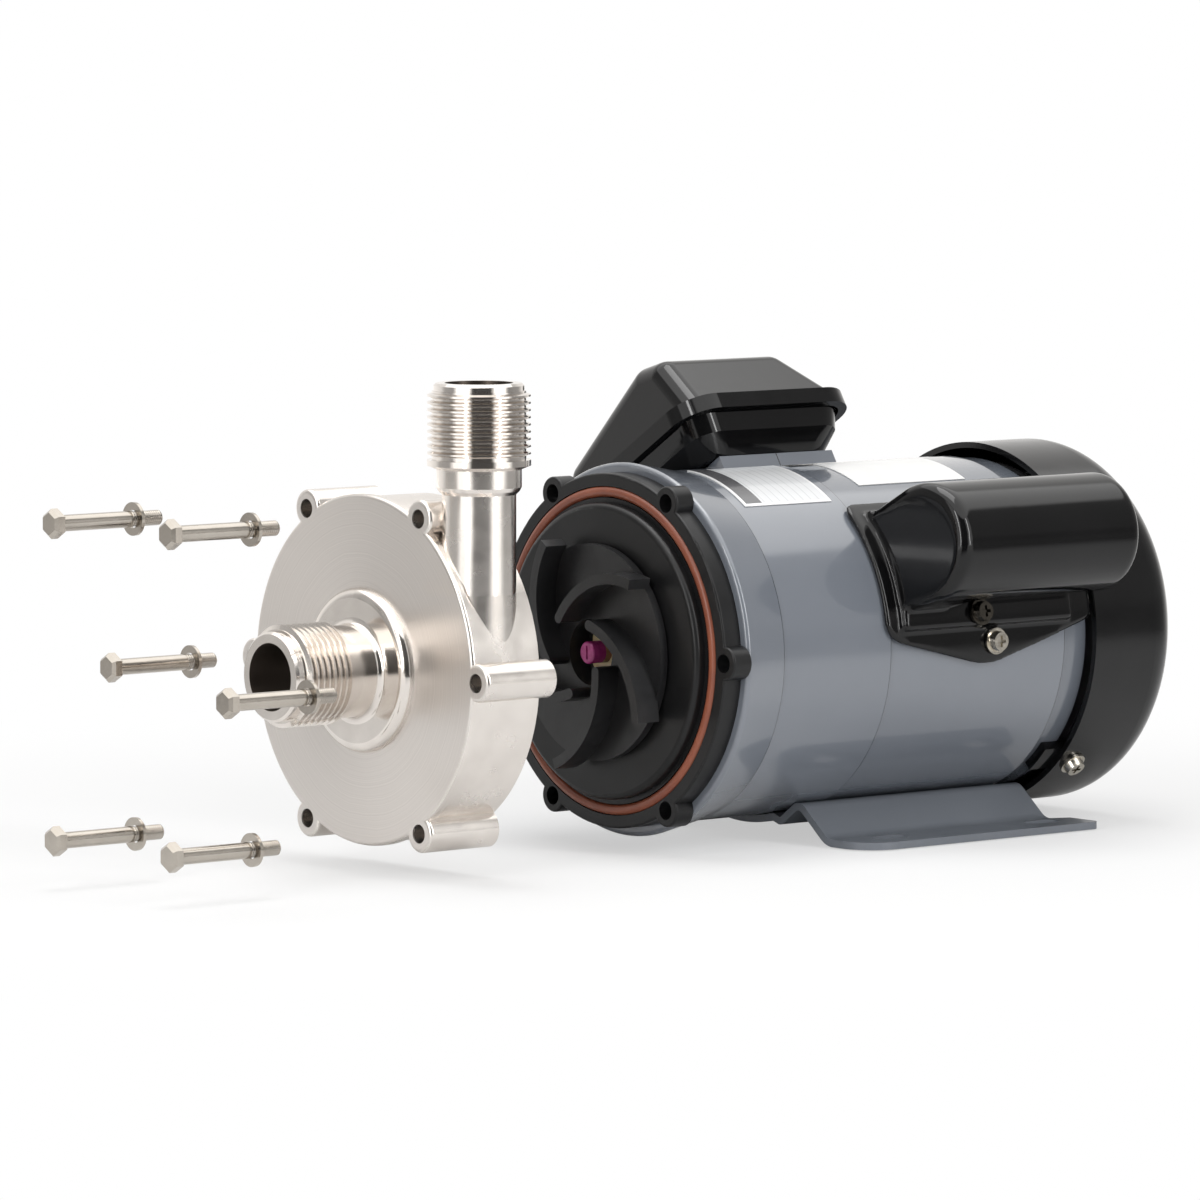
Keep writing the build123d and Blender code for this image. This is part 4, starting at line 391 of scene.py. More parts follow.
casing_steel, casing_shader = surface(
    "casing_steel",
    (0.66, 0.617, 0.578),
    Metallic=1.0,
    Roughness=0.3,
    Anisotropic=0.7,
    Anisotropic_Rotation=0.25,
)
steel_where = place(casing_steel, axis_place)
steel_x, steel_y, steel_z, steel_radius = axes_of(casing_steel, steel_where)
pipe_where = place(casing_steel, outlet_place, (0, pi / 2, 0))
pipe_down, _, _, pipe_radius = axes_of(casing_steel, pipe_where)
turned_face = calc(
    casing_steel,
    "MULTIPLY",
    calc(casing_steel, "LESS_THAN", steel_x, casing_face_x + 0.0004),
    calc(casing_steel, "GREATER_THAN", steel_x, collar_front_x),
)
on_pipe = calc(
    casing_steel,
    "MULTIPLY",
    calc(casing_steel, "LESS_THAN", pipe_radius, outlet_reach),
    calc(casing_steel, "GREATER_THAN", steel_z, outlet_foot_z - axis_place[2]),
)
polished = calc(
    casing_steel,
    "MAXIMUM",
    calc(casing_steel, "LESS_THAN", steel_x, collar_front_x),
    calc(casing_steel, "GREATER_THAN", steel_z, outlet_thread_z - axis_place[2]),
)
# Inside the port bores the steel is painted near black brown: painted shade in the recesses, with a
# rougher finish there.
painted_shade_bore_mask = calc(
    casing_steel,
    "MAXIMUM",
    calc(casing_steel, "LESS_THAN", steel_radius, port_bore),
    calc(
        casing_steel, "MULTIPLY", on_pipe, calc(casing_steel, "LESS_THAN", pipe_radius, port_bore)
    ),
)
ring_marks = shader_node(
    casing_steel, "ShaderNodeTexNoise", noise_dimensions="1D", Scale=1.0, Detail=4.0
)
wire(
    casing_steel,
    calc(
        casing_steel,
        "MULTIPLY_ADD",
        steel_radius,
        1900.0,
        cloud(casing_steel, steel_where, 45.0, 0.0, 2.0),
    ),
    ring_marks.inputs["W"],
)
cast_waves = calc(
    casing_steel,
    "ADD",
    cloud(casing_steel, steel_where, 95.0, 0.0, 1.0, 2.0),
    cloud(casing_steel, steel_where, 1700.0, 0.0, 0.03, 2.0),
)
steel_height = calc(
    casing_steel,
    "MULTIPLY",
    choose(
        casing_steel, turned_face, cast_waves, calc(casing_steel, "MULTIPLY", ring_marks.outputs[0], 0.4)
    ),
    calc(casing_steel, "MULTIPLY_ADD", polished, -0.97, 1.0),
)
relief(casing_steel, casing_shader, steel_height, 0.00005, 0.4)
wire(
    casing_steel,
    choose(
        casing_steel,
        polished,
        choose(
            casing_steel, turned_face, cloud(casing_steel, steel_where, 140.0, 0.22, 0.28), 0.31
        ),
        choose(casing_steel, painted_shade_bore_mask, 0.14, 0.45),
    ),
    casing_shader.inputs["Roughness"],
)
ring_tone = choose(
    casing_steel, ring_marks.outputs[0], (0.66, 0.622, 0.588), (0.80, 0.757, 0.718), "RGBA"
)
cast_tone = choose(
    casing_steel,
    cloud(casing_steel, steel_where, 90.0, 0.0, 1.0),
    (0.80, 0.755, 0.71),
    (0.73, 0.685, 0.643),
    "RGBA",
)
# Casing colour: cast and turned tones, with painted shade inside the bores.
wire(
    casing_steel,
    choose(
        casing_steel,
        painted_shade_bore_mask,
        choose(casing_steel, turned_face, cast_tone, ring_tone, "RGBA"),
        (0.10, 0.082, 0.068),
        "RGBA",
    ),
    casing_shader.inputs["Base Color"],
)
wire(
    casing_steel,
    choose(
        casing_steel,
        on_pipe,
        round_lines(casing_steel, steel_where, (1, 0, 0)),
        round_lines(casing_steel, place(casing_steel, outlet_place), (0, 0, 1)),
        "VECTOR",
    ),
    casing_shader.inputs["Tangent"],
)
dress(casing_steel, "front_casing")

# Casing bolts and washers. Cold formed M5 hexagon bolts and plain washers of
# stainless steel, with a short rolled thread at the end of a plain shank.
bolt_count = 6
thread_pitch = 0.0008
thread_length = 0.012
for number in range(1, bolt_count + 1):
    bolt_low, bolt_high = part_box(f"bolt_{number}")
    bolt_place = (
        bolt_high[0] - thread_length,
        (bolt_low[1] + bolt_high[1]) / 2,
        (bolt_low[2] + bolt_high[2]) / 2,
    )
    bolt_steel, bolt_shader = surface(
        f"bolt_steel_{number}", (0.46, 0.425, 0.38), Metallic=1.0, Roughness=0.2
    )
    bolt_where = place(bolt_steel, bolt_place)
    bolt_x, bolt_y, bolt_z, bolt_radius = axes_of(bolt_steel, bolt_where)
    helix = calc(
        bolt_steel,
        "MULTIPLY_ADD",
        bolt_x,
        2 * pi / thread_pitch,
        calc(bolt_steel, "ARCTAN2", bolt_z, bolt_y),
    )
    threaded = calc(
        bolt_steel,
        "MULTIPLY",
        calc(bolt_steel, "GREATER_THAN", bolt_x, 0.0),
        calc(bolt_steel, "LESS_THAN", bolt_radius, 0.00285),
    )
    rolled = calc(bolt_steel, "MULTIPLY", calc(bolt_steel, "SINE", helix), threaded)
    relief(bolt_steel, bolt_shader, rolled, 0.00016, 0.8)
    wire(
        bolt_steel,
        cloud(bolt_steel, place(bolt_steel, bolt_place, size=(6, 1, 1)), 500.0, 0.16, 0.22),
        bolt_shader.inputs["Roughness"],
    )
    tint(
        bolt_steel,
        bolt_shader,
        cloud(bolt_steel, bolt_where, 90.0, 0.0, 1.0),
        (0.49, 0.452, 0.404),
        (0.43, 0.394, 0.348),
    )
    dress(bolt_steel, f"bolt_{number}", f"washer_{number}")

# Rear casing and its seal. The casing is moulded in glass filled black plastic;
# the ring in its groove is reddish brown fluorocarbon rubber.
casing_black, casing_black_shader = surface(
    "casing_black", (0.006, 0.006, 0.0064), Roughness=0.36, Specular_IOR_Level=0.3
)
black_where = place(casing_black, axis_place)
relief(casing_black, casing_black_shader, cloud(casing_black, black_where, 1400.0, 0, 1), 0.00002, 0.3)
wire(
    casing_black,
    cloud(casing_black, black_where, 200.0, 0.32, 0.38),
    casing_black_shader.inputs["Roughness"],
)
tint(
    casing_black,
    casing_black_shader,
    cloud(casing_black, black_where, 50.0, 0, 1),
    (0.007, 0.007, 0.0075),
    (0.011, 0.011, 0.0115),
)
dress(casing_black, "rear_casing")

seal_brown, seal_shader = surface("seal_brown", (0.25, 0.07, 0.036), Roughness=0.34)
seal_where = place(seal_brown, axis_place)
relief(seal_brown, seal_shader, cloud(seal_brown, seal_where, 900.0, 0, 1), 0.00003, 0.3)
tint(
    seal_brown,
    seal_shader,
    cloud(seal_brown, seal_where, 80.0, 0, 1),
    (0.28, 0.080, 0.040),
    (0.21, 0.058, 0.031),
)
dress(seal_brown, "o_ring")

# Impeller. The open wheel with swept vanes is moulded in the same black
# plastic, with a ring of ferrite sealed in its hub and a cream plastic bush.
wheel_black, wheel_shader = surface(
    "wheel_black", (0.012, 0.012, 0.013), Roughness=0.34, Specular_IOR_Level=0.45
)
wheel_where = place(wheel_black, axis_place)
relief(wheel_black, wheel_shader, cloud(wheel_black, wheel_where, 1100.0, 0, 1), 0.00003, 0.3)
wire(wheel_black, cloud(wheel_black, wheel_where, 150.0, 0.30, 0.40), wheel_shader.inputs["Roughness"])
tint(
    wheel_black,
    wheel_shader,
    cloud(wheel_black, wheel_where, 90.0, 0, 1),
    (0.010, 0.010, 0.011),
    (0.017, 0.017, 0.018),
)
dress(wheel_black, "impeller", "magnet_cap")

bush_cream, bush_shader = surface(
    "bush_cream", (0.86, 0.72, 0.45), Roughness=0.3, Subsurface_Weight=0.15
)
bush_shader.inputs["Subsurface Radius"].default_value = (0.004, 0.003, 0.0015)
bush_shader.inputs["Subsurface Scale"].default_value = 0.4
bush_where = place(bush_cream, axis_place)
relief(bush_cream, bush_shader, cloud(bush_cream, bush_where, 900.0, 0, 1), 0.00003, 0.3)
tint(
    bush_cream,
    bush_shader,
    cloud(bush_cream, bush_where, 240.0, 0, 1),
    (0.90, 0.76, 0.49),
    (0.80, 0.66, 0.39),
)
dress(bush_cream, "impeller_bush")

# Magnets. Pressed and ground ferrite in segments, which the closed pump hides.
ferrite, ferrite_shader = surface("ferrite", (0.06, 0.06, 0.065), Metallic=0.4, Roughness=0.45)
ferrite_where = place(ferrite, axis_place)
relief(ferrite, ferrite_shader, cloud(ferrite, ferrite_where, 1500.0, 0, 1), 0.00004, 0.5)
tint(
    ferrite,
    ferrite_shader,
    cloud(ferrite, ferrite_where, 300.0, 0, 1),
    (0.05, 0.05, 0.055),
    (0.085, 0.085, 0.09),
)
dress(ferrite, "driven_magnets", "drive_magnets")

# Pump shaft. A ground magenta ceramic pin with a brown sleeve behind its nose,
# held in the middle of the rear casing.
shaft_magenta, shaft_shader = surface("shaft_magenta", (0.46, 0.045, 0.24), Roughness=0.24)
shaft_where = place(shaft_magenta, axis_place)
shaft_x = axes_of(shaft_magenta, shaft_where)[0]
ground = calc(shaft_magenta, "SINE", calc(shaft_magenta, "MULTIPLY", shaft_x, 2 * pi / 0.0011))
relief(shaft_magenta, shaft_shader, ground, 0.00003, 0.5)
tint(
    shaft_magenta,
    shaft_shader,
    cloud(shaft_magenta, shaft_where, 500.0, 0, 1),
    (0.52, 0.055, 0.27),
    (0.38, 0.030, 0.19),
)
dress(shaft_magenta, "ceramic_shaft")

sleeve_brown, sleeve_shader = surface("sleeve_brown", (0.30, 0.11, 0.055), Roughness=0.35)
sleeve_where = place(sleeve_brown, axis_place)
relief(sleeve_brown, sleeve_shader, cloud(sleeve_brown, sleeve_where, 900.0, 0, 1), 0.00003, 0.3)
tint(
    sleeve_brown,
    sleeve_shader,
    cloud(sleeve_brown, sleeve_where, 400.0, 0, 1),
    (0.34, 0.13, 0.065),
    (0.25, 0.09, 0.045),
)
dress(sleeve_brown, "shaft_sleeve")

# Motor housing. Bracket, two shells and rear shield are machined aluminium and
# rolled sheet, sprayed with blue grey gloss enamel that shows faint orange peel.


def enamel(name, light, dark, roughness=0.22, clear=0.5):
    """Sprayed gloss paint with faint orange peel under a clear surface."""
    material, shader = surface(
        name, light, Roughness=roughness, Coat_Weight=clear, Coat_Roughness=0.05
    )
    where = place(material, axis_place)
    relief(material, shader, cloud(material, where, 420.0, 0, 1, 2.0), 0.00002, 0.16)
    tint(material, shader, cloud(material, where, 60.0, 0, 1), light, dark)
    wire(
        material,
        cloud(material, where, 160.0, roughness - 0.02, roughness + 0.03),
        shader.inputs["Roughness"],
    )
    return material


def seamed(material, half_width, *stations):
    """Fine dark joints round the motor, where two housing pieces meet."""
    shader = material.node_tree.nodes["Principled BSDF"]
    x = axes_of(material, place(material, axis_place))[0]
    share = calc(material, "COMPARE", x, stations[0], half_width)
    for station in stations[1:]:
        share = calc(material, "MAXIMUM", share, calc(material, "COMPARE", x, station, half_width))
    paint = shader.inputs["Base Color"].links[0].from_socket
    line = choose(material, share, paint, (0.030, 0.033, 0.038), "RGBA")
    wire(material, line, shader.inputs["Base Color"])


motor_grey = enamel("motor_grey", (0.158, 0.173, 0.200), (0.154, 0.169, 0.195), 0.2, 1.0)
seamed(motor_grey, 0.00022, -0.0890, -0.0417, 0.0373)
shield_grey = enamel("shield_grey", (0.128, 0.141, 0.164), (0.124, 0.137, 0.160), 0.2, 1.0)
foot_grey = enamel("foot_grey", (0.158, 0.172, 0.195), (0.152, 0.166, 0.189), 0.34, 0.15)
dress(motor_grey, "motor_bracket", "front_shell", "rear_shell", "terminal_seat")
dress(shield_grey, "rear_end_shield")
dress(foot_grey, "foot")

# Terminal box and capacitor cover. Injection moulded black plastic with a
# polished surface; a rubber frame seals the box's two halves.
box_gloss, box_shader = surface(
    "box_gloss", (0.003, 0.003, 0.0033), Roughness=0.08, Specular_IOR_Level=0.36
)
gloss_where = place(box_gloss, axis_place)
relief(box_gloss, box_shader, cloud(box_gloss, gloss_where, 45.0, 0, 1, 1.0), 0.00006, 0.08)
wire(box_gloss, cloud(box_gloss, gloss_where, 140.0, 0.06, 0.10), box_shader.inputs["Roughness"])
tint(
    box_gloss,
    box_shader,
    cloud(box_gloss, gloss_where, 30.0, 0, 1),
    (0.0025, 0.0025, 0.0028),
    (0.0042, 0.0042, 0.0046),
)
dress(box_gloss, "terminal_base", "terminal_cover")

# Capacitor cover. One black moulding: a round hump over the can, whose raked
# front runs down in soft bends into a screwed flange bent round the motor's side.
cover_lean = radians(28)
hump_front_x = -0.0395
hump_length = 0.085
hump_middle = 0.0765
hump_radius = 0.020
hump_edge = 0.0038
hump_wall = 0.002
rake_shift = 0.002
rake_slope = 0.10
foot_height = 0.050
foot_sides = (-0.0158, 0.0188)
gusset_length = 0.030
flange_outline = (
    (-0.0450, 0.0460),
    (-0.0448, 0.0060),
    (-0.0405, 0.0024),
    (-0.0040, -0.0066),
    (0.0040, -0.0066),
    (0.0477, 0.0059),
    (0.0477, 0.0280),
    (0.0370, 0.0360),
    (0.0370, 0.0460),
)
flange_corner = 0.003
flange_radii = (0.0588, 0.0608)
plinth_ends = (-0.0388, 0.0365)
plinth_top = 0.0634
plinth_angles = (6.0, 46.5)
blend_grain = 0.00062
blend_passes = 9
lean_frame = Matrix(
    (
        (1, 0, 0, 0),
        (0, sin(cover_lean), -cos(cover_lean), 0),
        (0, cos(cover_lean), sin(cover_lean), axis_place[2]),
        (0, 0, 0, 1),
    )
)


def gather(target, part):
    """Adds a finished bmesh to another one."""
    part_mesh = bpy.data.meshes.new("gathered")
    bmesh.ops.recalc_face_normals(part, faces=part.faces)
    part.to_mesh(part_mesh)
    part.free()
    target.from_mesh(part_mesh)
    bpy.data.meshes.remove(part_mesh)


def round_edges(part, edges, offset, segments):
    """Rounds edges of a bmesh."""
    bmesh.ops.bevel(
        part,
        geom=edges,
        offset=offset,
        affect="EDGES",
        segments=segments,
        profile=0.5,
        material=-1,
        clamp_overlap=True,
    )


def lean_front(part):
    """Leans the front of the hump back towards its top and stands it on the motor."""
    for vertex in part.verts:
        if vertex.co.x < hump_front_x + 1.5 * hump_edge:
            vertex.co.x += rake_shift + rake_slope * (vertex.co.z - hump_middle)
    bmesh.ops.transform(part, matrix=lean_frame, verts=part.verts)


def hump_body(wall):
    """Round body of the hump, inset by a wall."""
    body = bmesh.new()
    length = hump_length - 2 * wall
    radius = hump_radius - wall
    bmesh.ops.create_cone(
        body, cap_ends=True, segments=96, radius1=radius, radius2=radius, depth=length
    )
    bmesh.ops.rotate(body, verts=body.verts, matrix=Matrix.Rotation(pi / 2, 3, "Y"))
    middle = (hump_front_x + wall + length / 2, 0, hump_middle)
    bmesh.ops.translate(body, verts=body.verts, vec=middle)
    rims = [edge for edge in body.edges if abs(edge.verts[0].co.x - edge.verts[1].co.x) < 1e-6]
    round_edges(body, rims, hump_edge - wall, 6)
    lean_front(body)
    return body


cover_shape = bmesh.new()
gather(cover_shape, hump_body(0.0))

gusset = bmesh.new()
for station, radius in ((0.0, hump_radius), (gusset_length, hump_radius - 0.0003)):
    ring = bmesh.ops.create_circle(gusset, segments=72, radius=radius)["verts"]
    bmesh.ops.rotate(gusset, verts=ring, matrix=Matrix.Rotation(pi / 2, 3, "Y"))
    bmesh.ops.translate(gusset, verts=ring, vec=(hump_front_x + station, 0, hump_middle))
for side in foot_sides:
    gusset.verts.new((hump_front_x, side, foot_height))
hull = bmesh.ops.convex_hull(gusset, input=gusset.verts)
spare = {piece for piece in hull["geom_interior"] if isinstance(piece, bmesh.types.BMVert)}
bmesh.ops.delete(gusset, geom=list(spare), context="VERTS")
bmesh.ops.dissolve_limit(
    gusset, angle_limit=radians(0.5), verts=gusset.verts, edges=gusset.edges
)
rim = [
    edge
    for edge in gusset.edges
    if max(vertex.co.x for vertex in edge.verts) < hump_front_x + 1e-5
    and max(vertex.co.z for vertex in edge.verts) > foot_height + 1e-5
]
round_edges(gusset, rim, hump_edge, 6)
lean_front(gusset)
gather(cover_shape, gusset)

flange = bmesh.new()
flange_face = flange.faces.new([flange.verts.new((x, 0, z)) for x, z in flange_outline])
bmesh.ops.bevel(
    flange,
    geom=flange.verts[:],
    offset=flange_corner,
    affect="VERTICES",
    segments=5,
    profile=0.5,
    material=-1,
)
for step in range(-4, 31):
    bmesh.ops.bisect_plane(
        flange,
        geom=flange.verts[:] + flange.edges[:] + flange.faces[:],
        plane_co=(0, 0, step * 0.0015),
        plane_no=(0, 0, 1),
    )
for vertex in flange.verts:
    vertex.co.y = -((flange_radii[0] ** 2 - vertex.co.z**2) ** 0.5)
grown = bmesh.ops.extrude_face_region(flange, geom=flange.faces[:])["geom"]
for vertex in grown:
    if isinstance(vertex, bmesh.types.BMVert):
        vertex.co.yz *= flange_radii[1] / flange_radii[0]
bmesh.ops.translate(flange, verts=flange.verts, vec=axis_place)
gather(cover_shape, flange)

plinth = bmesh.new()
plinth_corners = []
for x, radius in (
    (plinth_ends[0], flange_radii[0]),
    (plinth_ends[1], flange_radii[0]),
    (plinth_ends[1], plinth_top),
    (plinth_ends[0], plinth_top),
):
    plinth_corners.append(plinth.verts.new((x, -radius, axis_place[2])))
plinth.faces.new(plinth_corners)
low, high = (radians(angle) for angle in plinth_angles)
bmesh.ops.rotate(
    plinth, cent=axis_place, matrix=Matrix.Rotation(-low, 3, "X"), verts=plinth.verts
)
bmesh.ops.spin(
    plinth,
    geom=plinth.verts[:] + plinth.edges[:] + plinth.faces[:],
    cent=axis_place,
    axis=(1, 0, 0),
    angle=-(high - low),
    steps=28,
)
gather(cover_shape, plinth)

capacitor_hood = mesh_piece("capacitor_hood", cover_shape, 60)
blend = capacitor_hood.modifiers.new("blend", "REMESH")
blend.mode = "VOXEL"
blend.voxel_size = blend_grain
blend.use_smooth_shade = True
blended = bpy.data.meshes.new_from_object(
    capacitor_hood.evaluated_get(bpy.context.evaluated_depsgraph_get())
)
capacitor_hood.modifiers.clear()
hood = bmesh.new()
hood.from_mesh(blended)
for _ in range(blend_passes):
    bmesh.ops.smooth_vert(
        hood, verts=hood.verts, factor=0.5, use_axis_x=True, use_axis_y=True, use_axis_z=True
    )


def keep_off_motor(part, radius):
    """Pushes what dips into the motor's side back out to a radius."""
    for vertex in part.verts:
        reach = (vertex.co.y**2 + (vertex.co.z - axis_place[2]) ** 2) ** 0.5
        if reach < radius:
            vertex.co.y *= radius / reach
            vertex.co.z = axis_place[2] + (vertex.co.z - axis_place[2]) * radius / reach


keep_off_motor(hood, flange_radii[0])
bmesh.ops.recalc_face_normals(hood, faces=hood.faces)
can_room = hump_body(hump_wall)
keep_off_motor(can_room, flange_radii[0] + 0.0004)
bmesh.ops.recalc_face_normals(can_room, faces=can_room.faces)
bmesh.ops.reverse_faces(can_room, faces=can_room.faces)
room_mesh = bpy.data.meshes.new("can_room")
can_room.to_mesh(room_mesh)
can_room.free()
hood.from_mesh(room_mesh)
hood.to_mesh(capacitor_hood.data)
hood.free()
capacitor_hood.data.shade_smooth()
capacitor_hood.data.materials.append(box_gloss)
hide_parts("capacitor_cover")
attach(capacitor_hood, "motor")

frame_rubber, rubber_shader = surface("frame_rubber", (0.03, 0.03, 0.031), Roughness=0.6)
rubber_where = place(frame_rubber)
relief(frame_rubber, rubber_shader, cloud(frame_rubber, rubber_where, 1200.0, 0, 1), 0.00004, 0.5)
tint(
    frame_rubber,
    rubber_shader,
    cloud(frame_rubber, rubber_where, 200.0, 0, 1),
    (0.026, 0.026, 0.027),
    (0.040, 0.040, 0.041),
)
dress(frame_rubber, "terminal_gasket")

# Terminal block, its studs and the cable gland. Cream moulding compound,
# turned brass, and a black nylon gland on the box's far wall.
block_cream, block_shader = surface("block_cream", (0.62, 0.58, 0.48), Roughness=0.4)
block_where = place(block_cream)
relief(block_cream, block_shader, cloud(block_cream, block_where, 900.0, 0, 1), 0.00005, 0.4)
tint(
    block_cream,
    block_shader,
    cloud(block_cream, block_where, 120.0, 0, 1),
    (0.66, 0.62, 0.52),
    (0.56, 0.52, 0.42),
)
dress(block_cream, "terminal_block")

stud_brass, stud_shader = surface("stud_brass", (0.72, 0.52, 0.22), Metallic=1.0, Roughness=0.26)
stud_where = place(stud_brass)
wire(stud_brass, cloud(stud_brass, stud_where, 600.0, 0.2, 0.36), stud_shader.inputs["Roughness"])
tint(
    stud_brass,
    stud_shader,
    cloud(stud_brass, stud_where, 400.0, 0, 1),
    (0.76, 0.56, 0.25),
    (0.62, 0.43, 0.17),
)
dress(stud_brass, "terminal_studs")

gland_nylon, gland_shader = surface("gland_nylon", (0.02, 0.02, 0.021), Roughness=0.42)
gland_where = place(gland_nylon)
relief(gland_nylon, gland_shader, cloud(gland_nylon, gland_where, 1000.0, 0, 1), 0.00005, 0.4)
tint(
    gland_nylon,
    gland_shader,
    cloud(gland_nylon, gland_where, 150.0, 0, 1),
    (0.018, 0.018, 0.019),
    (0.028, 0.028, 0.029),
)
dress(gland_nylon, "cable_gland")

# Small screws. Nickel plated pan heads with captive washers on the covers, and
# the long tie rods and bracket screws that the covers hide.
screw_nickel, screw_shader = surface(
    "screw_nickel", (0.66, 0.62, 0.55), Metallic=1.0, Roughness=0.2
)
screw_where = place(screw_nickel)
relief(screw_nickel, screw_shader, cloud(screw_nickel, screw_where, 800.0, 0, 1), 0.00004, 0.3)
wire(
    screw_nickel,
    cloud(screw_nickel, screw_where, 400.0, 0.13, 0.28),
    screw_shader.inputs["Roughness"],
)
tint(
    screw_nickel,
    screw_shader,
    cloud(screw_nickel, screw_where, 300.0, 0, 1),
    (0.70, 0.66, 0.58),
    (0.58, 0.54, 0.47),
)
# The screw on the cover's shelf is painted dark brown grey: painted shade for the shadow it sits in
# under the hump.
shelf_screw_place = (-0.0060, -0.0640, 0.0772)
in_shade = shader_node(screw_nickel, "ShaderNodeVectorMath", operation="LENGTH")
wire(screw_nickel, place(screw_nickel, shelf_screw_place), in_shade.inputs[0])
shelf_screw_painted_shade = calc(screw_nickel, "LESS_THAN", in_shade.outputs["Value"], 0.0075)
nickel = screw_shader.inputs["Base Color"].links[0].from_socket
wire(
    screw_nickel,
    choose(screw_nickel, shelf_screw_painted_shade, nickel, (0.11, 0.10, 0.085), "RGBA"),
    screw_shader.inputs["Base Color"],
)
dress(
    screw_nickel,
    "capacitor_cover_screws",
    "fan_cover_screws",
    "terminal_cover_screws",
    "bracket_screws",
    "tie_rods",
)

# Run capacitor. A drawn aluminium can that fills the hump of its cover.
can_metal, can_shader = surface("can_metal", (0.72, 0.72, 0.73), Metallic=1.0, Roughness=0.35)
can_where = place(can_metal, axis_place, size=(8, 1, 1))
wire(can_metal, cloud(can_metal, can_where, 500.0, 0.28, 0.45), can_shader.inputs["Roughness"])
tint(
    can_metal,
    can_shader,
    cloud(can_metal, can_where, 90.0, 0, 1),
    (0.76, 0.76, 0.77),
    (0.64, 0.64, 0.65),
)
dress(can_metal, "capacitor")

# Fan cover with its tabs, and the fan. Deep drawn steel sheet in gloss black
# enamel over a moulded wheel.
cover_black = enamel("cover_black", (0.003, 0.003, 0.0034), (0.005, 0.005, 0.0054), 0.13, 0.0)
cover_black.node_tree.nodes["Principled BSDF"].inputs["Specular IOR Level"].default_value = 0.4
dress(cover_black, "fan_cover", "fan_cover_tabs")

fan_plastic, fan_shader = surface("fan_plastic", (0.03, 0.03, 0.032), Roughness=0.5)
fan_where = place(fan_plastic, axis_place)
relief(fan_plastic, fan_shader, cloud(fan_plastic, fan_where, 900.0, 0, 1), 0.00005, 0.4)
tint(
    fan_plastic,
    fan_shader,
    cloud(fan_plastic, fan_where, 100.0, 0, 1),
    (0.026, 0.026, 0.028),
    (0.040, 0.040, 0.043),
)
dress(fan_plastic, "cooling_fan")

# Labels. A printed plate on the front shell, with a white border, a dark band and
# an empty ruled field, and a plain white film on the rear shell.
plate_ends = (-0.0840, -0.0460)
plate_turns = (radians(55.5), radians(86.5))
plate_border = 0.0013
plate_band = 0.0070
rule_pitch = 0.0034
plate_printed, plate_shader = surface(
    "plate_printed", (0.74, 0.75, 0.76), Roughness=0.26, Coat_Weight=0.5, Coat_Roughness=0.08
)
plate_where = place(plate_printed, axis_place)
plate_x, plate_y, plate_z, plate_radius = axes_of(plate_printed, plate_where)
plate_turn = calc(
    plate_printed, "ARCTAN2", plate_z, calc(plate_printed, "MULTIPLY", plate_y, -1.0)
)
plate_arc = calc(
    plate_printed,
    "MULTIPLY",
    calc(plate_printed, "SUBTRACT", plate_turn, plate_turns[0]),
    plate_radius,
)
inside = calc(
    plate_printed,
    "MULTIPLY",
    calc(plate_printed, "GREATER_THAN", plate_x, plate_ends[0] + plate_border),
    calc(plate_printed, "LESS_THAN", plate_x, plate_ends[1] - plate_border),
)
inside = calc(
    plate_printed, "MULTIPLY", inside, calc(plate_printed, "GREATER_THAN", plate_arc, plate_border)
)
band = calc(
    plate_printed,
    "MULTIPLY",
    inside,
    calc(plate_printed, "LESS_THAN", plate_x, plate_ends[0] + plate_border + plate_band),
)
rules = calc(
    plate_printed,
    "LESS_THAN",
    calc(
        plate_printed,
        "MODULO",
        calc(plate_printed, "SUBTRACT", plate_x, plate_ends[0] - 0.0008),
        rule_pitch,
    ),
    0.00028,
)
field_tone = choose(
    plate_printed,
    calc(plate_printed, "MULTIPLY", rules, 0.55),
    (0.66, 0.67, 0.68),
    (0.30, 0.31, 0.33),
    "RGBA",
)
film_tone = choose(
    plate_printed,
    cloud(plate_printed, plate_where, 120.0, 0, 1),
    (0.82, 0.82, 0.82),
    (0.78, 0.78, 0.78),
    "RGBA",
)
printed = choose(plate_printed, inside, film_tone, field_tone, "RGBA")
wire(
    plate_printed,
    choose(plate_printed, band, printed, (0.075, 0.075, 0.08), "RGBA"),
    plate_shader.inputs["Base Color"],
)
dress(plate_printed, "nameplate")

film_white, film_shader = surface("film_white", (0.82, 0.82, 0.81), Roughness=0.3, Coat_Weight=0.4)
film_where = place(film_white)
tint(
    film_white,
    film_shader,
    cloud(film_white, film_where, 90.0, 0, 1),
    (0.83, 0.83, 0.82),
    (0.79, 0.79, 0.78),
)
dress(film_white, "blank_label")

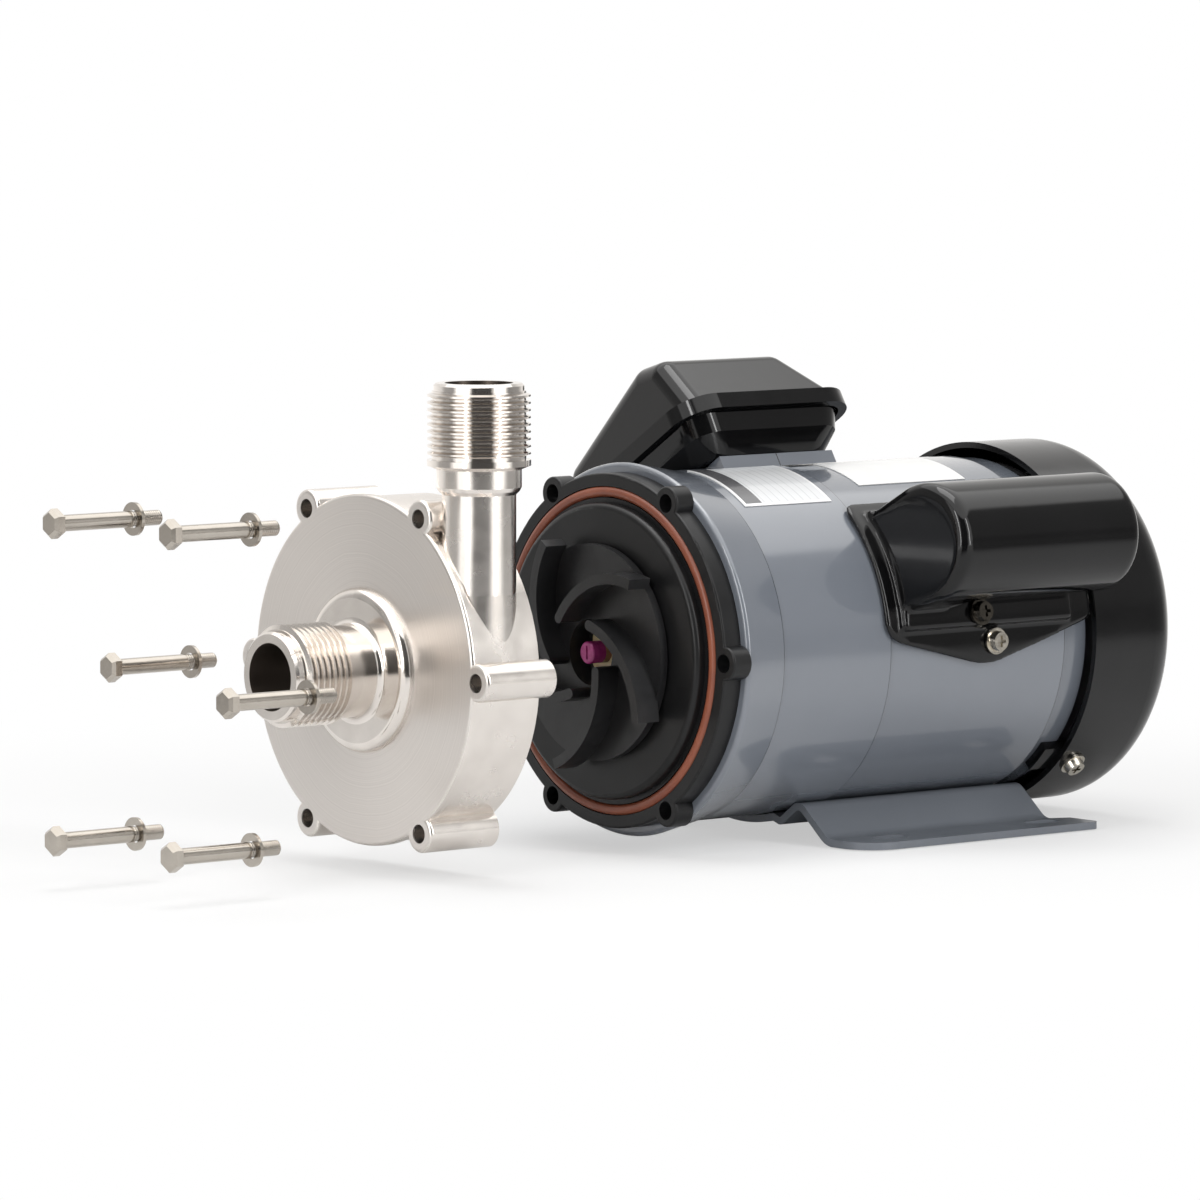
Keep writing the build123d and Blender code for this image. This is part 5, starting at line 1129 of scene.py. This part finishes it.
# Motor shaft, magnet yoke, bearings and spring. Turned and ground steel.
turned_steel, turned_shader = surface(
    "turned_steel", (0.56, 0.55, 0.54), Metallic=1.0, Roughness=0.25, Anisotropic=0.4
)
turned_where = place(turned_steel, axis_place, size=(1, 6, 6))
relief(turned_steel, turned_shader, cloud(turned_steel, turned_where, 2500.0, 0, 1), 0.00002, 0.3)
wire(
    turned_steel,
    cloud(turned_steel, turned_where, 500.0, 0.18, 0.34),
    turned_shader.inputs["Roughness"],
)
tint(
    turned_steel,
    turned_shader,
    cloud(turned_steel, turned_where, 200.0, 0, 1),
    (0.60, 0.59, 0.58),
    (0.50, 0.49, 0.48),
)
dress(
    turned_steel,
    "motor_shaft",
    "drive_magnet_yoke",
    "wave_spring",
    *[
        f"{end}_bearing_{piece}"
        for end in ("front", "rear")
        for piece in ("inner_ring", "outer_ring", "balls")
    ],
)

# Rotor and stator cores. Stacks of half millimetre sheets, with die cast
# aluminium end rings and varnished copper windings.
sheet_stack, stack_shader = surface(
    "sheet_stack", (0.28, 0.28, 0.30), Metallic=0.9, Roughness=0.42
)
stack_where = place(sheet_stack, axis_place)
stack_x = axes_of(sheet_stack, stack_where)[0]
sheets = calc(sheet_stack, "SINE", calc(sheet_stack, "MULTIPLY", stack_x, 2 * pi / 0.0005))
relief(sheet_stack, stack_shader, sheets, 0.00004, 0.5)
tint(
    sheet_stack,
    stack_shader,
    cloud(sheet_stack, stack_where, 150.0, 0, 1),
    (0.30, 0.30, 0.32),
    (0.22, 0.22, 0.24),
)
dress(sheet_stack, "rotor_core", "stator_core")

cast_rings, rings_shader = surface("cast_rings", (0.66, 0.66, 0.67), Metallic=1.0, Roughness=0.4)
rings_where = place(cast_rings, axis_place)
relief(cast_rings, rings_shader, cloud(cast_rings, rings_where, 700.0, 0, 1), 0.00006, 0.5)
tint(
    cast_rings,
    rings_shader,
    cloud(cast_rings, rings_where, 120.0, 0, 1),
    (0.70, 0.70, 0.71),
    (0.60, 0.60, 0.61),
)
dress(cast_rings, "rotor_end_rings")

winding_copper, winding_shader = surface(
    "winding_copper", (0.50, 0.21, 0.09), Metallic=0.8, Roughness=0.35
)
winding_where = place(winding_copper, axis_place)
winding_radius = axes_of(winding_copper, winding_where)[3]
wires = calc(
    winding_copper,
    "SINE",
    calc(
        winding_copper,
        "MULTIPLY_ADD",
        winding_radius,
        2 * pi / 0.0008,
        cloud(winding_copper, winding_where, 90.0, 0.0, 4.0),
    ),
)
relief(winding_copper, winding_shader, wires, 0.00015, 0.7)
tint(
    winding_copper,
    winding_shader,
    cloud(winding_copper, winding_where, 160.0, 0, 1),
    (0.55, 0.24, 0.10),
    (0.38, 0.14, 0.06),
)
dress(winding_copper, "stator_windings")
